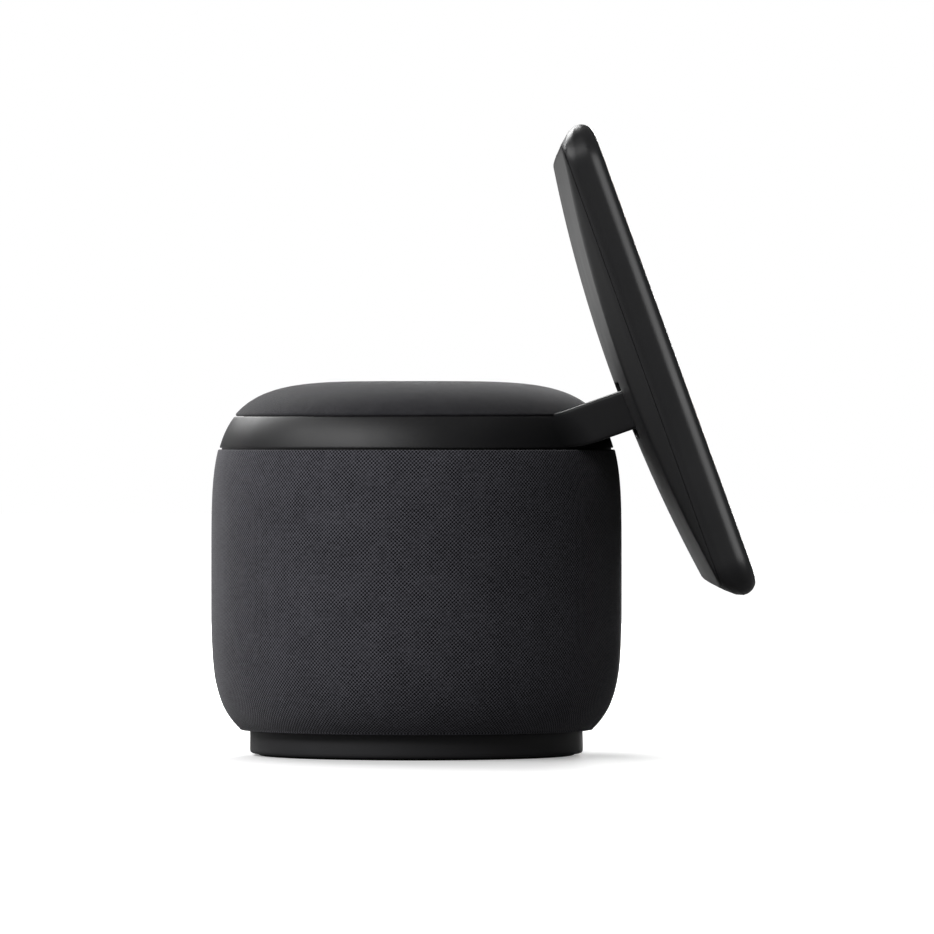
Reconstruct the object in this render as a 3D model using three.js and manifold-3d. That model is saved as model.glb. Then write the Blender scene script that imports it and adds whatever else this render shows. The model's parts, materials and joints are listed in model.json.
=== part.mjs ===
// A smart display speaker: a barrel-shaped fabric speaker whose top turret turns, with an arm
// that holds a tilting touch display in front of it.
//
// Millimetres, +Z up. The origin is on the swivel axis, in the plane of the table. The display
// faces -Y, so the woofer and the power socket face +Y. The display leans back by restTilt.

import * as THREE from "three";
import { mergeVertices } from "three/addons/utils/BufferGeometryUtils.js";
import Module from "manifold-3d";

const wasm = await Module();
wasm.setup();

// ---------------------------------------------------------------- driving dimensions

const gap = 0.3; // between pieces that touch
const seam = 0.5; // the visible joint lines between outer pieces
const round = 32; // facets in a full turn of a large piece
const fine = 16; // facets in a full turn of a small one

const body = {
  radius: 74.8,
  waist: 65.4, // height of the widest point
  rise: 70.9, // from the waist to the crown
  drop: 65.2, // from the waist down to where the outline would close
  squareness: 4.5, // exponent of the barrel's outline
};
const fabric = { thickness: 1.2 };
const plinth = { radius: 60.7, bottom: 0.8, height: 8.6, wall: 2.5, floorBottom: 2.8, floor: 2.4 };
const pad = { inset: 2.9, thickness: 2.4, edge: 0.8 };
const ballast = { rim: 1.7, thickness: 3.8 }; // rim: between the plate and the plinth wall
const pan = { bottom: 9.7, thickness: 2.5 };
const housing = { bottom: 12.5, top: 111.0, wall: 2.6 };
const sleeve = { bottom: 9.3, top: 111.4 };
const deck = { bottom: 103.6, thickness: 3 };
const band = { bottom: 112.0, top: 123.4, wall: 2.8, inset: 0.3 };
const hub = { radius: 13, bore: 10, bottom: 98 };
const bearing = { inner: 24, outer: 34, race: 2.7, glide: 1.4 };
const turntable = { bottom: 114.6, thickness: 2.4, margin: 2.4 };
const flange = { width: 9, thickness: 2.2 };
const cap = { wall: 2.5, screwClearance: 0.4 };
const stop = { inset: 1.2, depth: 4, width: 4.4 }; // inset from the edge of the turntable

const gears = {
  ringTeeth: 60,
  ringModule: 1.44,
  ringWidth: 4.3,
  ringRim: 4.2,
  idlerTeeth: 10,
  wheelTeeth: 24,
  pinionTeeth: 10,
  wheelModule: 1,
  wheelWidth: 2.4,
  backlash: 0.16, // taken off each tooth's half thickness, as a share of the module
};
const motor = { radius: 11, length: 22, shaft: 1.5, turn: 22 }; // turn: degrees round from the idler
const screw = { shank: 1.4, head: 2.8, headHeight: 1.5 };

const woofer = {
  height: 66,
  clearance: 3.8, // from the frame's rim to the housing
  radius: 36,
  flange: 3,
  cone: 25,
  neck: 11,
  coneDepth: 11,
  basket: 22,
  magnet: 25,
  magnetDepth: 8,
  plate: 2.5,
  skin: 0.8,
};
const tweeter = { height: 72, clearance: 2.9, radius: 16, flange: 2.5, dome: 11.6, magnet: 11, depth: 14, turn: 45 };
const board = { radius: 45, thickness: 1.6, standoff: 5 };
const jack = { height: 22.6, recess: 12.4, width: 14, tall: 11, deep: 14, bore: 3.2, pin: 1.0, boreDepth: 10 };
const bezel = { bore: 5.2, wall: 1.5, lip: 8.2, lipThickness: 0.9, proud: 0.3 };

const arm = {
  halfWidth: 43,
  thickness: 14.5,
  rise: 19.3, // degrees above level
  wall: 2,
  nose: 7.2, // how far the rounded end reaches past the hinge pin
  rootFillet: 18,
  upperBend: { start: 41.5, radius: 43 },
  lowerBend: { start: 52, radius: 45 },
  core: 3.5,
  coreDrop: 1.6, // below the arm's middle
  coreHalfWidth: 26,
};
const hinge = { ahead: 7.1, above: 4.3, pin: 1.6 }; // ahead of the barrel, above the band
const restTilt = 19.9; // degrees that the display leans back
const tiltRange = 20; // degrees that it tilts each way from there

const display = {
  width: 251,
  height: 176,
  corner: 14,
  raise: 13.0, // how far the display's middle is above the pivot
  front: 15.1, // from the pivot to the face of the glass
  edgeRound: 5,
  back: 6.1, // from the pivot to the crown of the back
  sideCrease: 2.6, // where the side wall meets the back, forward of the pivot
  endCrease: 7.9, // the same along the top and bottom edges
  sideSlope: 0.8,
  endSlope: 1.15,
  crownAcross: 1.4e-4, // how fast the back's crown falls away, per millimetre squared
  crownDown: 9.3e-4,
  blend: 1.2,
  wall: 2,
};
const glass = { thickness: 1.2, margin: 4.5, ledge: 4 };
const panel = { sideMargin: 12.5, endMargin: 18, thickness: 2.6 };
const chassis = { sideMargin: 7.5, endMargin: 9, thickness: 1.4 };
const pocket = { clearance: 1.2, headroom: 0.65, floor: 0.6, wall: 1.4 };
const bracket = { length: 8, radius: 3.0, foot: 14, footThickness: 1.4, clearance: 1 };
const button = { length: 12, width: 4.4, proud: 0.4, deep: 3.0, travel: 0.5, inset: 2.7, shelf: 1.0 };
const buttonPlaces = { mute_button: -38, volume_down_button: -14, volume_up_button: 4 };
const shutter = { knob: 8, width: 3.4, travel: 9.5, blade: 11, bladeThickness: 0.5, deep: 2.6 };
const camera = { fromEdge: 27.5, drop: 13.5, side: 7.2, depth: 4.4 };

// ---------------------------------------------------------------- solids and meshes

const degrees = Math.PI / 180;

/** A closed geometry as a manifold-3d solid with its faces pointing out. */
function solid(geometry) {
  const plain = new THREE.BufferGeometry();
  const source = geometry.index ? geometry.toNonIndexed() : geometry;
  plain.setAttribute("position", source.getAttribute("position"));
  const merged = mergeVertices(plain, 1e-4);
  const triVerts = new Uint32Array(merged.index.array);
  const mesh = { numProp: 3, vertProperties: merged.attributes.position.array, triVerts };
  const made = new wasm.Manifold(new wasm.Mesh(mesh));
  if (made.volume() > 0) return made;
  for (let i = 0; i < triVerts.length; i += 3) {
    [triVerts[i + 1], triVerts[i + 2]] = [triVerts[i + 2], triVerts[i + 1]];
  }
  return new wasm.Manifold(new wasm.Mesh(mesh));
}

/** A manifold-3d solid as a geometry that three.js can draw. */
function geometryOf(made) {
  const mesh = made.getMesh();
  const positions = new Float32Array(mesh.numVert * 3);
  for (let i = 0; i < mesh.numVert; i++) {
    positions.set(mesh.vertProperties.subarray(i * mesh.numProp, i * mesh.numProp + 3), i * 3);
  }
  const indexed = new THREE.BufferGeometry();
  indexed.setAttribute("position", new THREE.BufferAttribute(positions, 3));
  indexed.setIndex(new THREE.BufferAttribute(mesh.triVerts, 1));
  const geometry = indexed.toNonIndexed();
  geometry.computeVertexNormals();
  return geometry;
}

const join = (first, ...rest) => rest.reduce((sum, next) => sum.add(next), first);
const cut = (first, ...rest) => rest.reduce((left, next) => left.subtract(next), first);

/** A solid turned about Z from an outline of [radius, height] points. */
function turned(outline, facets = round) {
  const points = outline.map(([r, z]) => new THREE.Vector2(r, z));
  if (outline[0][0] > 0) points.push(points[0].clone());
  return solid(new THREE.LatheGeometry(points, facets).rotateX(Math.PI / 2));
}

/** A ring with a rectangular section, or a disc where inner is 0. */
function ring(inner, outer, bottom, top, facets = round) {
  if (inner > 0) return turned([[inner, bottom], [outer, bottom], [outer, top], [inner, top]], facets);
  return turned([[0, bottom], [outer, bottom], [outer, top], [0, top]], facets);
}

/** A box between two corners. */
function block([x0, y0, z0], [x1, y1, z1]) {
  const geometry = new THREE.BoxGeometry(x1 - x0, y1 - y0, z1 - z0);
  return solid(geometry.translate((x0 + x1) / 2, (y0 + y1) / 2, (z0 + z1) / 2));
}

/** A flat outline of [x, y] points raised from bottom to top along Z. */
function prism(outline, bottom, top) {
  const shape = new THREE.Shape(outline.map(([x, y]) => new THREE.Vector2(x, y)));
  const geometry = new THREE.ExtrudeGeometry(shape, { depth: top - bottom, bevelEnabled: false });
  return solid(geometry.translate(0, 0, bottom));
}

/** An outline of [y, z] points drawn across X, from -halfWidth to +halfWidth. */
function crosswise(outline, halfWidth) {
  const across = new THREE.Matrix4().makeBasis(
    new THREE.Vector3(0, 1, 0),
    new THREE.Vector3(0, 0, 1),
    new THREE.Vector3(1, 0, 0),
  );
  return moved(prism(outline, -halfWidth, halfWidth), across);
}

/** A round bar along an axis, "x", "y" or "z", between two places on it. */
function bar(radius, from, to, axis = "z", facets = fine) {
  const geometry = new THREE.CylinderGeometry(radius, radius, to - from, facets);
  geometry.rotateX(Math.PI / 2).translate(0, 0, (from + to) / 2);
  if (axis === "x") geometry.rotateY(Math.PI / 2);
  if (axis === "y") geometry.rotateX(-Math.PI / 2);
  return solid(geometry);
}

/** A solid carried by a THREE.Matrix4. */
const moved = (made, matrix) => solid(geometryOf(made).applyMatrix4(matrix));
const shifted = (made, x, y, z) => made.translate([x, y, z]);

/** A round cable or a flat ribbon along a smooth curve through points. */
function cable(points, halfWidth, halfHeight, steps) {
  const path = new THREE.CatmullRomCurve3(points.map((p) => new THREE.Vector3(...p)));
  const section = new THREE.Shape();
  section.absellipse(0, 0, halfWidth, halfHeight, 0, 2 * Math.PI);
  return solid(new THREE.ExtrudeGeometry(section, { steps, extrudePath: path, curveSegments: 4 }));
}

const looks = {
  knit: { color: 0x3a3a3f, roughness: 0.95 },
  satin: { color: 0x232325, roughness: 0.45 },
  rubber: { color: 0x1a1a1b, roughness: 0.8 },
  plastic: { color: 0x2c2c2e, roughness: 0.7 },
  glass: { color: 0x050506, roughness: 0.05 },
  steel: { color: 0x8d9094, roughness: 0.35, metalness: 1 },
  aluminium: { color: 0xb4b7ba, roughness: 0.4, metalness: 1 },
  ferrite: { color: 0x2a2827, roughness: 0.6 },
  cone: { color: 0x161616, roughness: 0.9 },
  copper: { color: 0xb0693a, roughness: 0.35, metalness: 1 },
  board: { color: 0x1d4a33, roughness: 0.5 },
  acetal: { color: 0xd9d6cc, roughness: 0.5 },
  cable: { color: 0x141414, roughness: 0.6 },
  lens: { color: 0x08090c, roughness: 0.05 },
};

/** A named mesh, added to a group. */
function add(group, name, look, made) {
  const mesh = new THREE.Mesh(geometryOf(made), new THREE.MeshStandardMaterial(looks[look]));
  mesh.name = name;
  group.add(mesh);
}

// ---------------------------------------------------------------- the barrel's outline

/** Radius of the outer fabric surface at a height. */
function barrel(z) {
  const reach = z > body.waist ? body.rise : body.drop;
  const share = Math.min(1, Math.abs(z - body.waist) / reach);
  return body.radius * (1 - share ** body.squareness) ** (1 / body.squareness);
}
const crown = body.waist + body.rise;
const pivot = { y: -(body.radius + hinge.ahead), z: band.top + hinge.above };

/** Heights from bottom to top, closer together where the barrel curves. */
function levels(bottom, top, count) {
  const angle = (z) => {
    const reach = z > body.waist ? body.rise : body.drop;
    const share = Math.max(-1, Math.min(1, (z - body.waist) / reach));
    return Math.sign(share) * Math.abs(share) ** (body.squareness / 2);
  };
  const height = (a) => {
    const reach = a > 0 ? body.rise : body.drop;
    return body.waist + Math.sign(a) * reach * Math.abs(a) ** (2 / body.squareness);
  };
  const [from, to] = [Math.asin(angle(bottom)), Math.asin(angle(top))];
  const made = [];
  for (let i = 0; i <= count; i++) made.push(height(Math.sin(from + ((to - from) * i) / count)));
  made[0] = bottom;
  made[count] = top;
  return made;
}

/** A shell that follows the barrel, from depth outside to depth inside under the fabric surface. */
function barrelShell(outside, inside, bottom, top) {
  const shared = levels(sleeve.bottom, sleeve.top, 7).filter((z) => z > bottom + 0.5 && z < top - 0.5);
  const heights = [bottom, ...shared, top];
  const outer = heights.map((z) => [barrel(z) - outside, z]);
  const inner = heights.map((z) => [barrel(z) - inside, z]).reverse();
  return turned([...outer, ...inner]);
}

/** The barrel as a full solid between two heights, less a skin. */
function barrelSolid(skin, bottom, top) {
  const heights = levels(bottom, top, 6);
  return turned([[0, bottom], ...heights.map((z) => [barrel(z) - skin, z]), [0, top]]);
}

/** A domed lid that follows the barrel up to the crown, less a skin outside. */
function dome(skin, bottom, count) {
  const start = bottom - skin - 1;
  const outline = levels(start, crown, count).map((z) => {
    const step = 0.05;
    const run = barrel(Math.min(z + step, crown)) - barrel(z - step);
    const rise = Math.min(z + step, crown) - (z - step);
    const length = Math.hypot(run, rise);
    return [Math.max(0, barrel(z) - (skin * rise) / length), z + (skin * run) / length];
  });
  outline[outline.length - 1] = [0, crown - skin];
  const lid = turned([[0, start - 1], [outline[0][0], start - 1], ...outline]);
  return lid.intersect(ring(0, body.radius, bottom, crown + 1));
}

// ---------------------------------------------------------------- screws and gears

/** A pan-head screw standing on z = 0, with its shank going down. */
function screwSolid(length) {
  const head = turned(
    [[0, 0], [screw.head, 0], [screw.head, screw.headHeight * 0.6], [screw.head * 0.7, screw.headHeight], [0, screw.headHeight]],
    12,
  );
  const slot = block([-screw.head * 0.55, -0.35, screw.headHeight * 0.5], [screw.head * 0.55, 0.35, screw.headHeight + 1]);
  const cross = block([-0.35, -screw.head * 0.55, screw.headHeight * 0.5], [0.35, screw.head * 0.55, screw.headHeight + 1]);
  return join(cut(head, slot, cross), bar(screw.shank, -length, 0.1, "z", 12));
}

/** Places at equal angles round a circle, starting at an angle in degrees. */
function around(radius, count, start) {
  return Array.from({ length: count }, (_, i) => {
    const angle = (start + (360 * i) / count) * degrees;
    return [radius * Math.cos(angle), radius * Math.sin(angle)];
  });
}

/** The outline of a spur gear with straight-sided teeth; a tooth points along phase, in radians. */
function gearOutline(teeth, module, phase) {
  const pitch = (teeth * module) / 2;
  const quarter = Math.PI / (2 * teeth);
  const lean = (Math.tan(20 * degrees) * module) / pitch;
  const slack = (gears.backlash * module) / pitch;
  const corners = [
    [pitch - 1.25 * module, -quarter - 1.2 * lean + slack],
    [pitch + 0.95 * module, -quarter + 0.95 * lean + slack],
    [pitch + 0.95 * module, quarter - 0.95 * lean - slack],
    [pitch - 1.25 * module, quarter + 1.2 * lean - slack],
  ];
  const outline = [];
  for (let i = 0; i < teeth; i++) {
    const middle = phase + (2 * Math.PI * i) / teeth;
    for (const [r, a] of corners) outline.push([r * Math.cos(middle + a), r * Math.sin(middle + a)]);
  }
  return outline;
}

const ringPitch = (gears.ringTeeth * gears.ringModule) / 2;
const idlerPitch = (gears.idlerTeeth * gears.ringModule) / 2;
const wheelPitch = (gears.wheelTeeth * gears.wheelModule) / 2;
const pinionPitch = (gears.pinionTeeth * gears.wheelModule) / 2;
const idlerPlace = [ringPitch + idlerPitch, 0];
const motorReach = wheelPitch + pinionPitch;
const motorHeading = Math.PI - (90 - motor.turn / 2) * degrees; // seen from the idler
const motorPlace = [
  idlerPlace[0] + motorReach * Math.cos(motorHeading),
  motorReach * Math.sin(motorHeading),
];

const deckTop = deck.bottom + deck.thickness;
const ringGearTop = turntable.bottom - gap;
const ringGearBottom = ringGearTop - gears.ringWidth;
const wheelBottom = deckTop + 0.4;
const wheelTop = wheelBottom + gears.wheelWidth;
const turntableTop = turntable.bottom + turntable.thickness;
const turntableRadius = barrel(turntableTop) - band.inset - band.wall - turntable.margin;
const stopOuter = turntableRadius - stop.inset;
const stopInner = stopOuter - stop.depth;

// ---------------------------------------------------------------- the fixed base

const innerRadius = (z) => barrel(z) - fabric.thickness - gap - housing.wall;
const deckRadius = innerRadius(deckTop) - 0.5;
const deckScrews = around(deckRadius - 3.9, 3, 30);
/** How far out a flat round part of a given radius can stand inside the housing. */
const faceDistance = (part) => Math.sqrt(innerRadius(part.height) ** 2 - part.radius ** 2) - part.clearance;
const jackFace = barrel(jack.height) - jack.recess;
const panRadius = barrel(pan.bottom) - fabric.thickness - 0.8;
const panTop = pan.bottom + pan.thickness;
const jackAxis = (made) => shifted(made, 0, 0, jack.height);

function makeFoot(group) {
  const padRadius = plinth.radius - pad.inset;
  const padSolid = turned([
    [0, 0],
    [padRadius - pad.edge, 0],
    [padRadius, pad.edge],
    [padRadius, pad.thickness],
    [0, pad.thickness],
  ]);
  const grooves = [0.8].map((share) => {
    return ring(padRadius * share, padRadius * share + 1.6, -1, pad.edge);
  });
  add(group, "rubber_foot", "rubber", cut(padSolid, ...grooves));

  const floorTop = plinth.floorBottom + plinth.floor;
  const top = plinth.bottom + plinth.height;
  const holder = turned([
    [0, plinth.floorBottom],
    [padRadius + gap, plinth.floorBottom],
    [padRadius + gap, plinth.bottom],
    [plinth.radius - 1.6, plinth.bottom],
    [plinth.radius - 0.5, plinth.bottom + 0.5],
    [plinth.radius, plinth.bottom + 1.6],
    [plinth.radius, top],
    [plinth.radius - plinth.wall, top],
    [plinth.radius - plinth.wall, floorTop],
    [0, floorTop],
  ]);
  add(group, "foot_plinth", "satin", holder);

  const plateBottom = floorTop + gap;
  const plate = ring(0, plinth.radius - plinth.wall - ballast.rim, plateBottom, Math.min(plateBottom + ballast.thickness, pan.bottom - gap));
  add(group, "ballast_plate", "steel", plate);
}

function makeBasePan(group) {
  const plate = ring(0, panRadius, pan.bottom, panTop);
  const posts = around(board.radius - 6, 4, 0).map(([x, y]) => {
    return shifted(bar(2.6, panTop - 0.1, panTop + board.standoff - gap), x, y, 0);
  });
  add(group, "base_pan", "plastic", join(plate, ...posts));
}

function makeHousing(group) {
  const skin = fabric.thickness + gap;
  const shell = barrelShell(skin, skin + housing.wall, housing.bottom, housing.top);
  const window = shifted(bar(woofer.radius - 5, 0, body.radius + 5, "y", 24), 0, 0, woofer.height);
  const tweeterWindows = [1, -1].map((side) => {
    const port = bar(tweeter.dome + 1.4, faceDistance(tweeter) - 20, body.radius + 5, "y");
    return shifted(port.rotate([0, 0, 180 + side * tweeter.turn]), 0, 0, tweeter.height);
  });
  const plugHole = jackAxis(bar(bezel.bore + bezel.wall + gap, jackFace - 10, body.radius + 5, "y"));
  const bossTop = deck.bottom - gap;
  const bosses = deckScrews.map(([x, y]) => {
    const post = shifted(bar(5, bossTop - 11, bossTop), x, y, 0);
    return cut(post, shifted(bar(screw.shank + gap, bossTop - 9, bossTop + 1), x, y, 0));
  });
  const hollow = cut(shell, window, ...tweeterWindows, plugHole);
  add(group, "speaker_housing", "plastic", join(hollow, ...bosses));

  const cloth = barrelShell(0, fabric.thickness, sleeve.bottom, sleeve.top);
  const plugCut = jackAxis(bar(bezel.lip + gap, jackFace, body.radius + 5, "y"));
  add(group, "fabric_sleeve", "knit", cut(cloth, plugCut));
}

function makePower(group) {
  const bottom = panTop + board.standoff;
  const top = bottom + board.thickness;
  const disc = ring(0, board.radius, bottom, top);
  const notch = block([-jack.width / 2 - 1, board.radius - 6, bottom - 1], [jack.width / 2 + 1, board.radius + 1, top + 1]);
  const chips = [
    block([-30, -12, top - 0.1], [-16, 2, top + 1.6]),
    block([14, 8, top - 0.1], [26, 18, top + 1.4]),
    block([20, -14, top - 0.1], [30, -8, top + 3]),
    shifted(bar(5, top - 0.1, top + 9), -24, 18, 0),
    shifted(bar(5, top - 0.1, top + 9), -12, 26, 0),
  ];
  add(group, "main_board", "board", join(cut(disc, notch), ...chips));

  const fins = Array.from({ length: 7 }, (_, i) => {
    const x = -12 + i * 4;
    return block([x - 0.6, -34, top + 1.9], [x + 0.6, -12, top + 9]);
  });
  const sinkBase = block([-14, -34, top + gap], [14, -12, top + 2]);
  add(group, "heat_sink", "aluminium", join(sinkBase, ...fins));

  const low = jack.height - jack.tall / 2;
  const high = jack.height + jack.tall / 2;
  const shell = block([-jack.width / 2, jackFace - jack.deep, low], [jack.width / 2, jackFace, high]);
  const bore = jackAxis(bar(jack.bore, jackFace - jack.boreDepth, jackFace + 1, "y"));
  const pin = jackAxis(bar(jack.pin, jackFace - jack.boreDepth - 0.5, jackFace - 1, "y", 12));
  add(group, "power_jack", "satin", join(cut(shell, bore), pin));

  const end = body.radius + 5;
  const tube = bar(bezel.bore + bezel.wall, jackFace + gap, end, "y");
  const lip = bar(bezel.lip, jackFace + gap, end, "y");
  const well = bar(bezel.bore, jackFace - 1, end + 1, "y");
  const outside = barrelSolid(-bezel.proud, jack.height - 12, jack.height + 12);
  const under = barrelSolid(bezel.lipThickness, jack.height - 13, jack.height + 13);
  const trim = join(jackAxis(tube).intersect(outside), cut(jackAxis(lip).intersect(outside), under));
  add(group, "jack_bezel", "satin", cut(trim, jackAxis(well)));
}

function makeWoofer(group) {
  const placed = new THREE.Group();
  placed.position.set(0, faceDistance(woofer), woofer.height);
  placed.rotation.x = -Math.PI / 2;
  group.add(placed);
  const rim = woofer.radius - 4;
  const neckOuter = woofer.neck + 0.4;
  const backWall = -woofer.flange - woofer.basket;

  const plateBottom = backWall - woofer.plate;
  const frame = turned([
    [woofer.cone + 7.6, 0],
    [woofer.radius, 0],
    [woofer.radius, -woofer.flange],
    [rim, -woofer.flange],
    [woofer.magnet - 3, backWall + 2],
    [woofer.magnet - 3, plateBottom],
    [neckOuter + 0.6, plateBottom],
    [neckOuter + 0.6, backWall],
    [neckOuter + 1.4, backWall + 1.8],
    [woofer.magnet - 5, backWall + 1.8],
    [rim - 1.8, -woofer.flange],
    [woofer.cone + 7.6, -1.2],
  ], 24);
  const windows = around(28, 6, 0).map(([x, y]) => shifted(bar(6.2, backWall + 5, -woofer.flange - 2, "z", 8), x, y, 0));
  add(placed, "woofer_frame", "satin", cut(frame, ...windows));

  const roll = [];
  const middle = woofer.cone + 4;
  for (let i = 0; i <= 4; i++) {
    const a = Math.PI - (Math.PI * i) / 4;
    roll.push([middle + 3 * Math.cos(a), 0.6 + 2.6 * Math.sin(a)]);
  }
  const under = roll.map(([r, z]) => [middle + (r - middle) * 0.78, z - 0.7]).reverse();
  const surround = [...roll, [middle + 3.4, 0.6], [middle + 3.4, -0.1], ...under, [middle - 3.4, -0.1], [middle - 3.4, 0.6]];
  add(placed, "woofer_surround", "rubber", turned(surround, 24));

  const corrugation = [];
  for (let i = 0; i <= 5; i++) corrugation.push([neckOuter + 0.6 + i * 1.7, -19 + 0.7 * (i % 2)]);
  const spider = [...corrugation, ...corrugation.map(([r, z]) => [r, z - 0.6]).reverse()];
  add(placed, "woofer_spider", "knit", turned(spider, fine));

  const coilBottom = backWall - 2;
  const capRise = 3.5;
  const capTop = [0, 1, 2, 3].map((i) => {
    const r = (woofer.neck - 0.4) * Math.sin((i * Math.PI) / 6);
    return [r, -woofer.coneDepth + capRise * Math.cos((i * Math.PI) / 6)];
  });
  const capUnder = capTop.map(([r, z]) => [r * 0.96, z - woofer.skin]).reverse();
  const moving = [
    ...capTop,
    [woofer.neck, -woofer.coneDepth],
    [woofer.cone, -0.4],
    [woofer.cone, -0.4 - woofer.skin * 1.3],
    [woofer.neck + 0.2, -woofer.coneDepth - woofer.skin],
    [woofer.neck + 0.2, coilBottom],
    [woofer.neck - 0.5, coilBottom],
    [woofer.neck - 0.5, -woofer.coneDepth - woofer.skin],
    ...capUnder,
  ];
  add(placed, "woofer_cone", "cone", turned(moving, 24));

  const magnetTop = plateBottom - gap;
  const magnetBottom = magnetTop - woofer.magnetDepth;
  add(placed, "woofer_magnet", "ferrite", ring(woofer.neck + 3, woofer.magnet, magnetBottom, magnetTop, 24));
  const yokeTop = magnetBottom - gap;
  const pole = ring(0, woofer.neck - 1.2, yokeTop - 0.1, backWall - 0.2, fine);
  add(placed, "magnet_yoke", "steel", join(ring(0, woofer.magnet - 1, yokeTop - 3, yokeTop), pole));
}

function makeTweeters(group) {
  for (const [name, side] of [["left", -1], ["right", 1]]) {
    const heading = side * tweeter.turn * degrees;
    const placed = new THREE.Group();
    const distance = faceDistance(tweeter);
    placed.position.set(distance * Math.sin(heading), -distance * Math.cos(heading), tweeter.height);
    placed.rotation.set(Math.PI / 2, 0, heading, "ZXY");
    group.add(placed);
    const frame = turned(
      [
        [0, -tweeter.depth],
        [tweeter.magnet, -tweeter.depth],
        [tweeter.magnet, -tweeter.flange],
        [tweeter.radius, -tweeter.flange],
        [tweeter.radius, 0],
        [tweeter.dome + 1.4, 0],
        [tweeter.dome + 0.6, -1.6],
        [0, -1.6],
      ],
      fine,
    );
    add(placed, `tweeter_frame_${name}`, "satin", frame);
    const outer = [0, 1, 2, 3].map((i) => {
      const a = (i * Math.PI) / 6;
      return [tweeter.dome * Math.sin(a), -0.9 + 4 * Math.cos(a)];
    });
    const inner = outer.map(([r, z]) => [r * 0.95, z - 0.4]).reverse();
    add(placed, `tweeter_dome_${name}`, "knit", turned([...outer, ...inner], fine));
  }
}

function makeDrive(group) {
  const plate = ring(hub.radius + 1.2, deckRadius, deck.bottom, deckTop);
  const postEnd = ringGearTop - 0.6;
  const stopPost = block(
    [-stop.width / 2, stopInner, deckTop - 0.1],
    [stop.width / 2, stopOuter, postEnd],
  );
  const axle = shifted(bar(1.6, deckTop - 0.1, postEnd, "z", 16), ...idlerPlace, 0);
  const shaftHole = shifted(bar(motor.shaft + 2, deck.bottom - 1, deckTop + 1), ...motorPlace, 0);
  const screwHoles = deckScrews.map(([x, y]) => shifted(bar(screw.shank + gap, deck.bottom - 1, deckTop + 1), x, y, 0));
  add(group, "top_deck", "aluminium", cut(join(plate, stopPost, axle), shaftHole, ...screwHoles));
  deckScrews.forEach(([x, y], i) => {
    add(group, `deck_screw_${i + 1}`, "steel", shifted(screwSolid(deck.thickness + 7), x, y, deckTop + gap));
  });

  const lowTop = deckTop + gap + bearing.race;
  add(group, "bearing_lower", "steel", ring(bearing.inner, bearing.outer, deckTop + gap, lowTop, 24));
  const glideTop = lowTop + gap + bearing.glide;
  add(group, "glide_ring", "acetal", ring(bearing.inner + 1, bearing.outer - 1, lowTop + gap, glideTop, 24));

  const canTop = deck.bottom - gap;
  const can = join(
    ring(0, motor.radius, canTop - motor.length, canTop, fine),
    bar(4, canTop - motor.length - 2, canTop - motor.length + 0.1),
  );
  add(group, "swivel_motor", "steel", shifted(can, ...motorPlace, 0));
  const cableTop = hub.bottom - 3;
  const route = [
    [-22, -4, panTop + board.standoff + 4.5],
    [-20, -6, 32],
    [-8, -6, 48],
    [-1, -2, 70],
    [0, 0, cableTop],
  ];
  add(group, "base_cable", "cable", cable(route, 2.2, 2.2, 12));
}

// ---------------------------------------------------------------- the gears that turn by themselves

/** A tooth of one gear meets a gap of the other along the line between their centres. */
function meshPhase(teeth, heading, toothPointsThere) {
  return heading + (toothPointsThere ? 0 : Math.PI / teeth);
}

function makeGears(group) {
  const [x, y] = idlerPlace;
  const small = prism(gearOutline(gears.idlerTeeth, gears.ringModule, meshPhase(gears.idlerTeeth, Math.PI, false)), wheelTop - 0.1, ringGearTop - 0.4);
  const large = prism(gearOutline(gears.wheelTeeth, gears.wheelModule, meshPhase(gears.wheelTeeth, motorHeading, false)), wheelBottom, wheelTop);
  const bore = bar(1.6 + gap, wheelBottom - 1, ringGearTop + 1, "z", 16);
  add(group, "idler_gear", "acetal", shifted(cut(join(large, small), bore), x, y, 0));

  const facing = motorHeading + Math.PI;
  const pinion = prism(gearOutline(gears.pinionTeeth, gears.wheelModule, meshPhase(gears.pinionTeeth, facing, true)), wheelBottom, wheelTop + 0.3);
  const shaft = bar(motor.shaft, deck.bottom, wheelTop + 1, "z", 16);
  add(group, "motor_pinion", "steel", shifted(join(pinion, shaft), ...motorPlace, 0));
}

// ---------------------------------------------------------------- the turret: ring, arm and cap

const bandFace = (z) => barrel(z) - band.inset;
const toWards = { y: Math.cos(arm.rise * degrees), z: Math.sin(arm.rise * degrees) };

/** The side view of ring and arm together, grown by an amount: [y, z] points, with y towards the front negative. */
function armSideView(grow, backEnd) {
  const half = arm.thickness / 2 + grow;
  const turn = arm.rise * degrees;
  /** Points of a bend that starts level at a height and ends along the arm's straight edge. */
  const bend = (edge, level, radius) => {
    const onLine = [pivot.y + edge * toWards.z, pivot.z + edge * toWards.y];
    const drop = level - onLine[1];
    const corner = onLine[0] + -drop / Math.tan(turn);
    const reach = radius * Math.tan(turn / 2);
    return [0, 1, 2, 3, 4].map((i) => {
      const a = (turn * i) / 4;
      return [corner + reach - radius * Math.sin(a), level + radius * (1 - Math.cos(a))];
    });
  };
  const upper = bend(half, band.top + grow, arm.upperBend.radius);
  const lower = bend(-half, band.bottom - grow, arm.lowerBend.radius);
  const nose = [];
  for (let i = 0; i <= 10; i++) {
    const a = Math.PI / 2 - (Math.PI * i) / 10;
    const [out, up] = [(arm.nose + grow) * Math.cos(a), half * Math.sin(a)];
    nose.push([pivot.y - out * toWards.y + up * toWards.z, pivot.z + out * toWards.z + up * toWards.y]);
  }
  return [[backEnd, band.top + grow], ...upper, ...nose, ...lower.reverse(), [backEnd, band.bottom - grow]];
}

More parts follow.
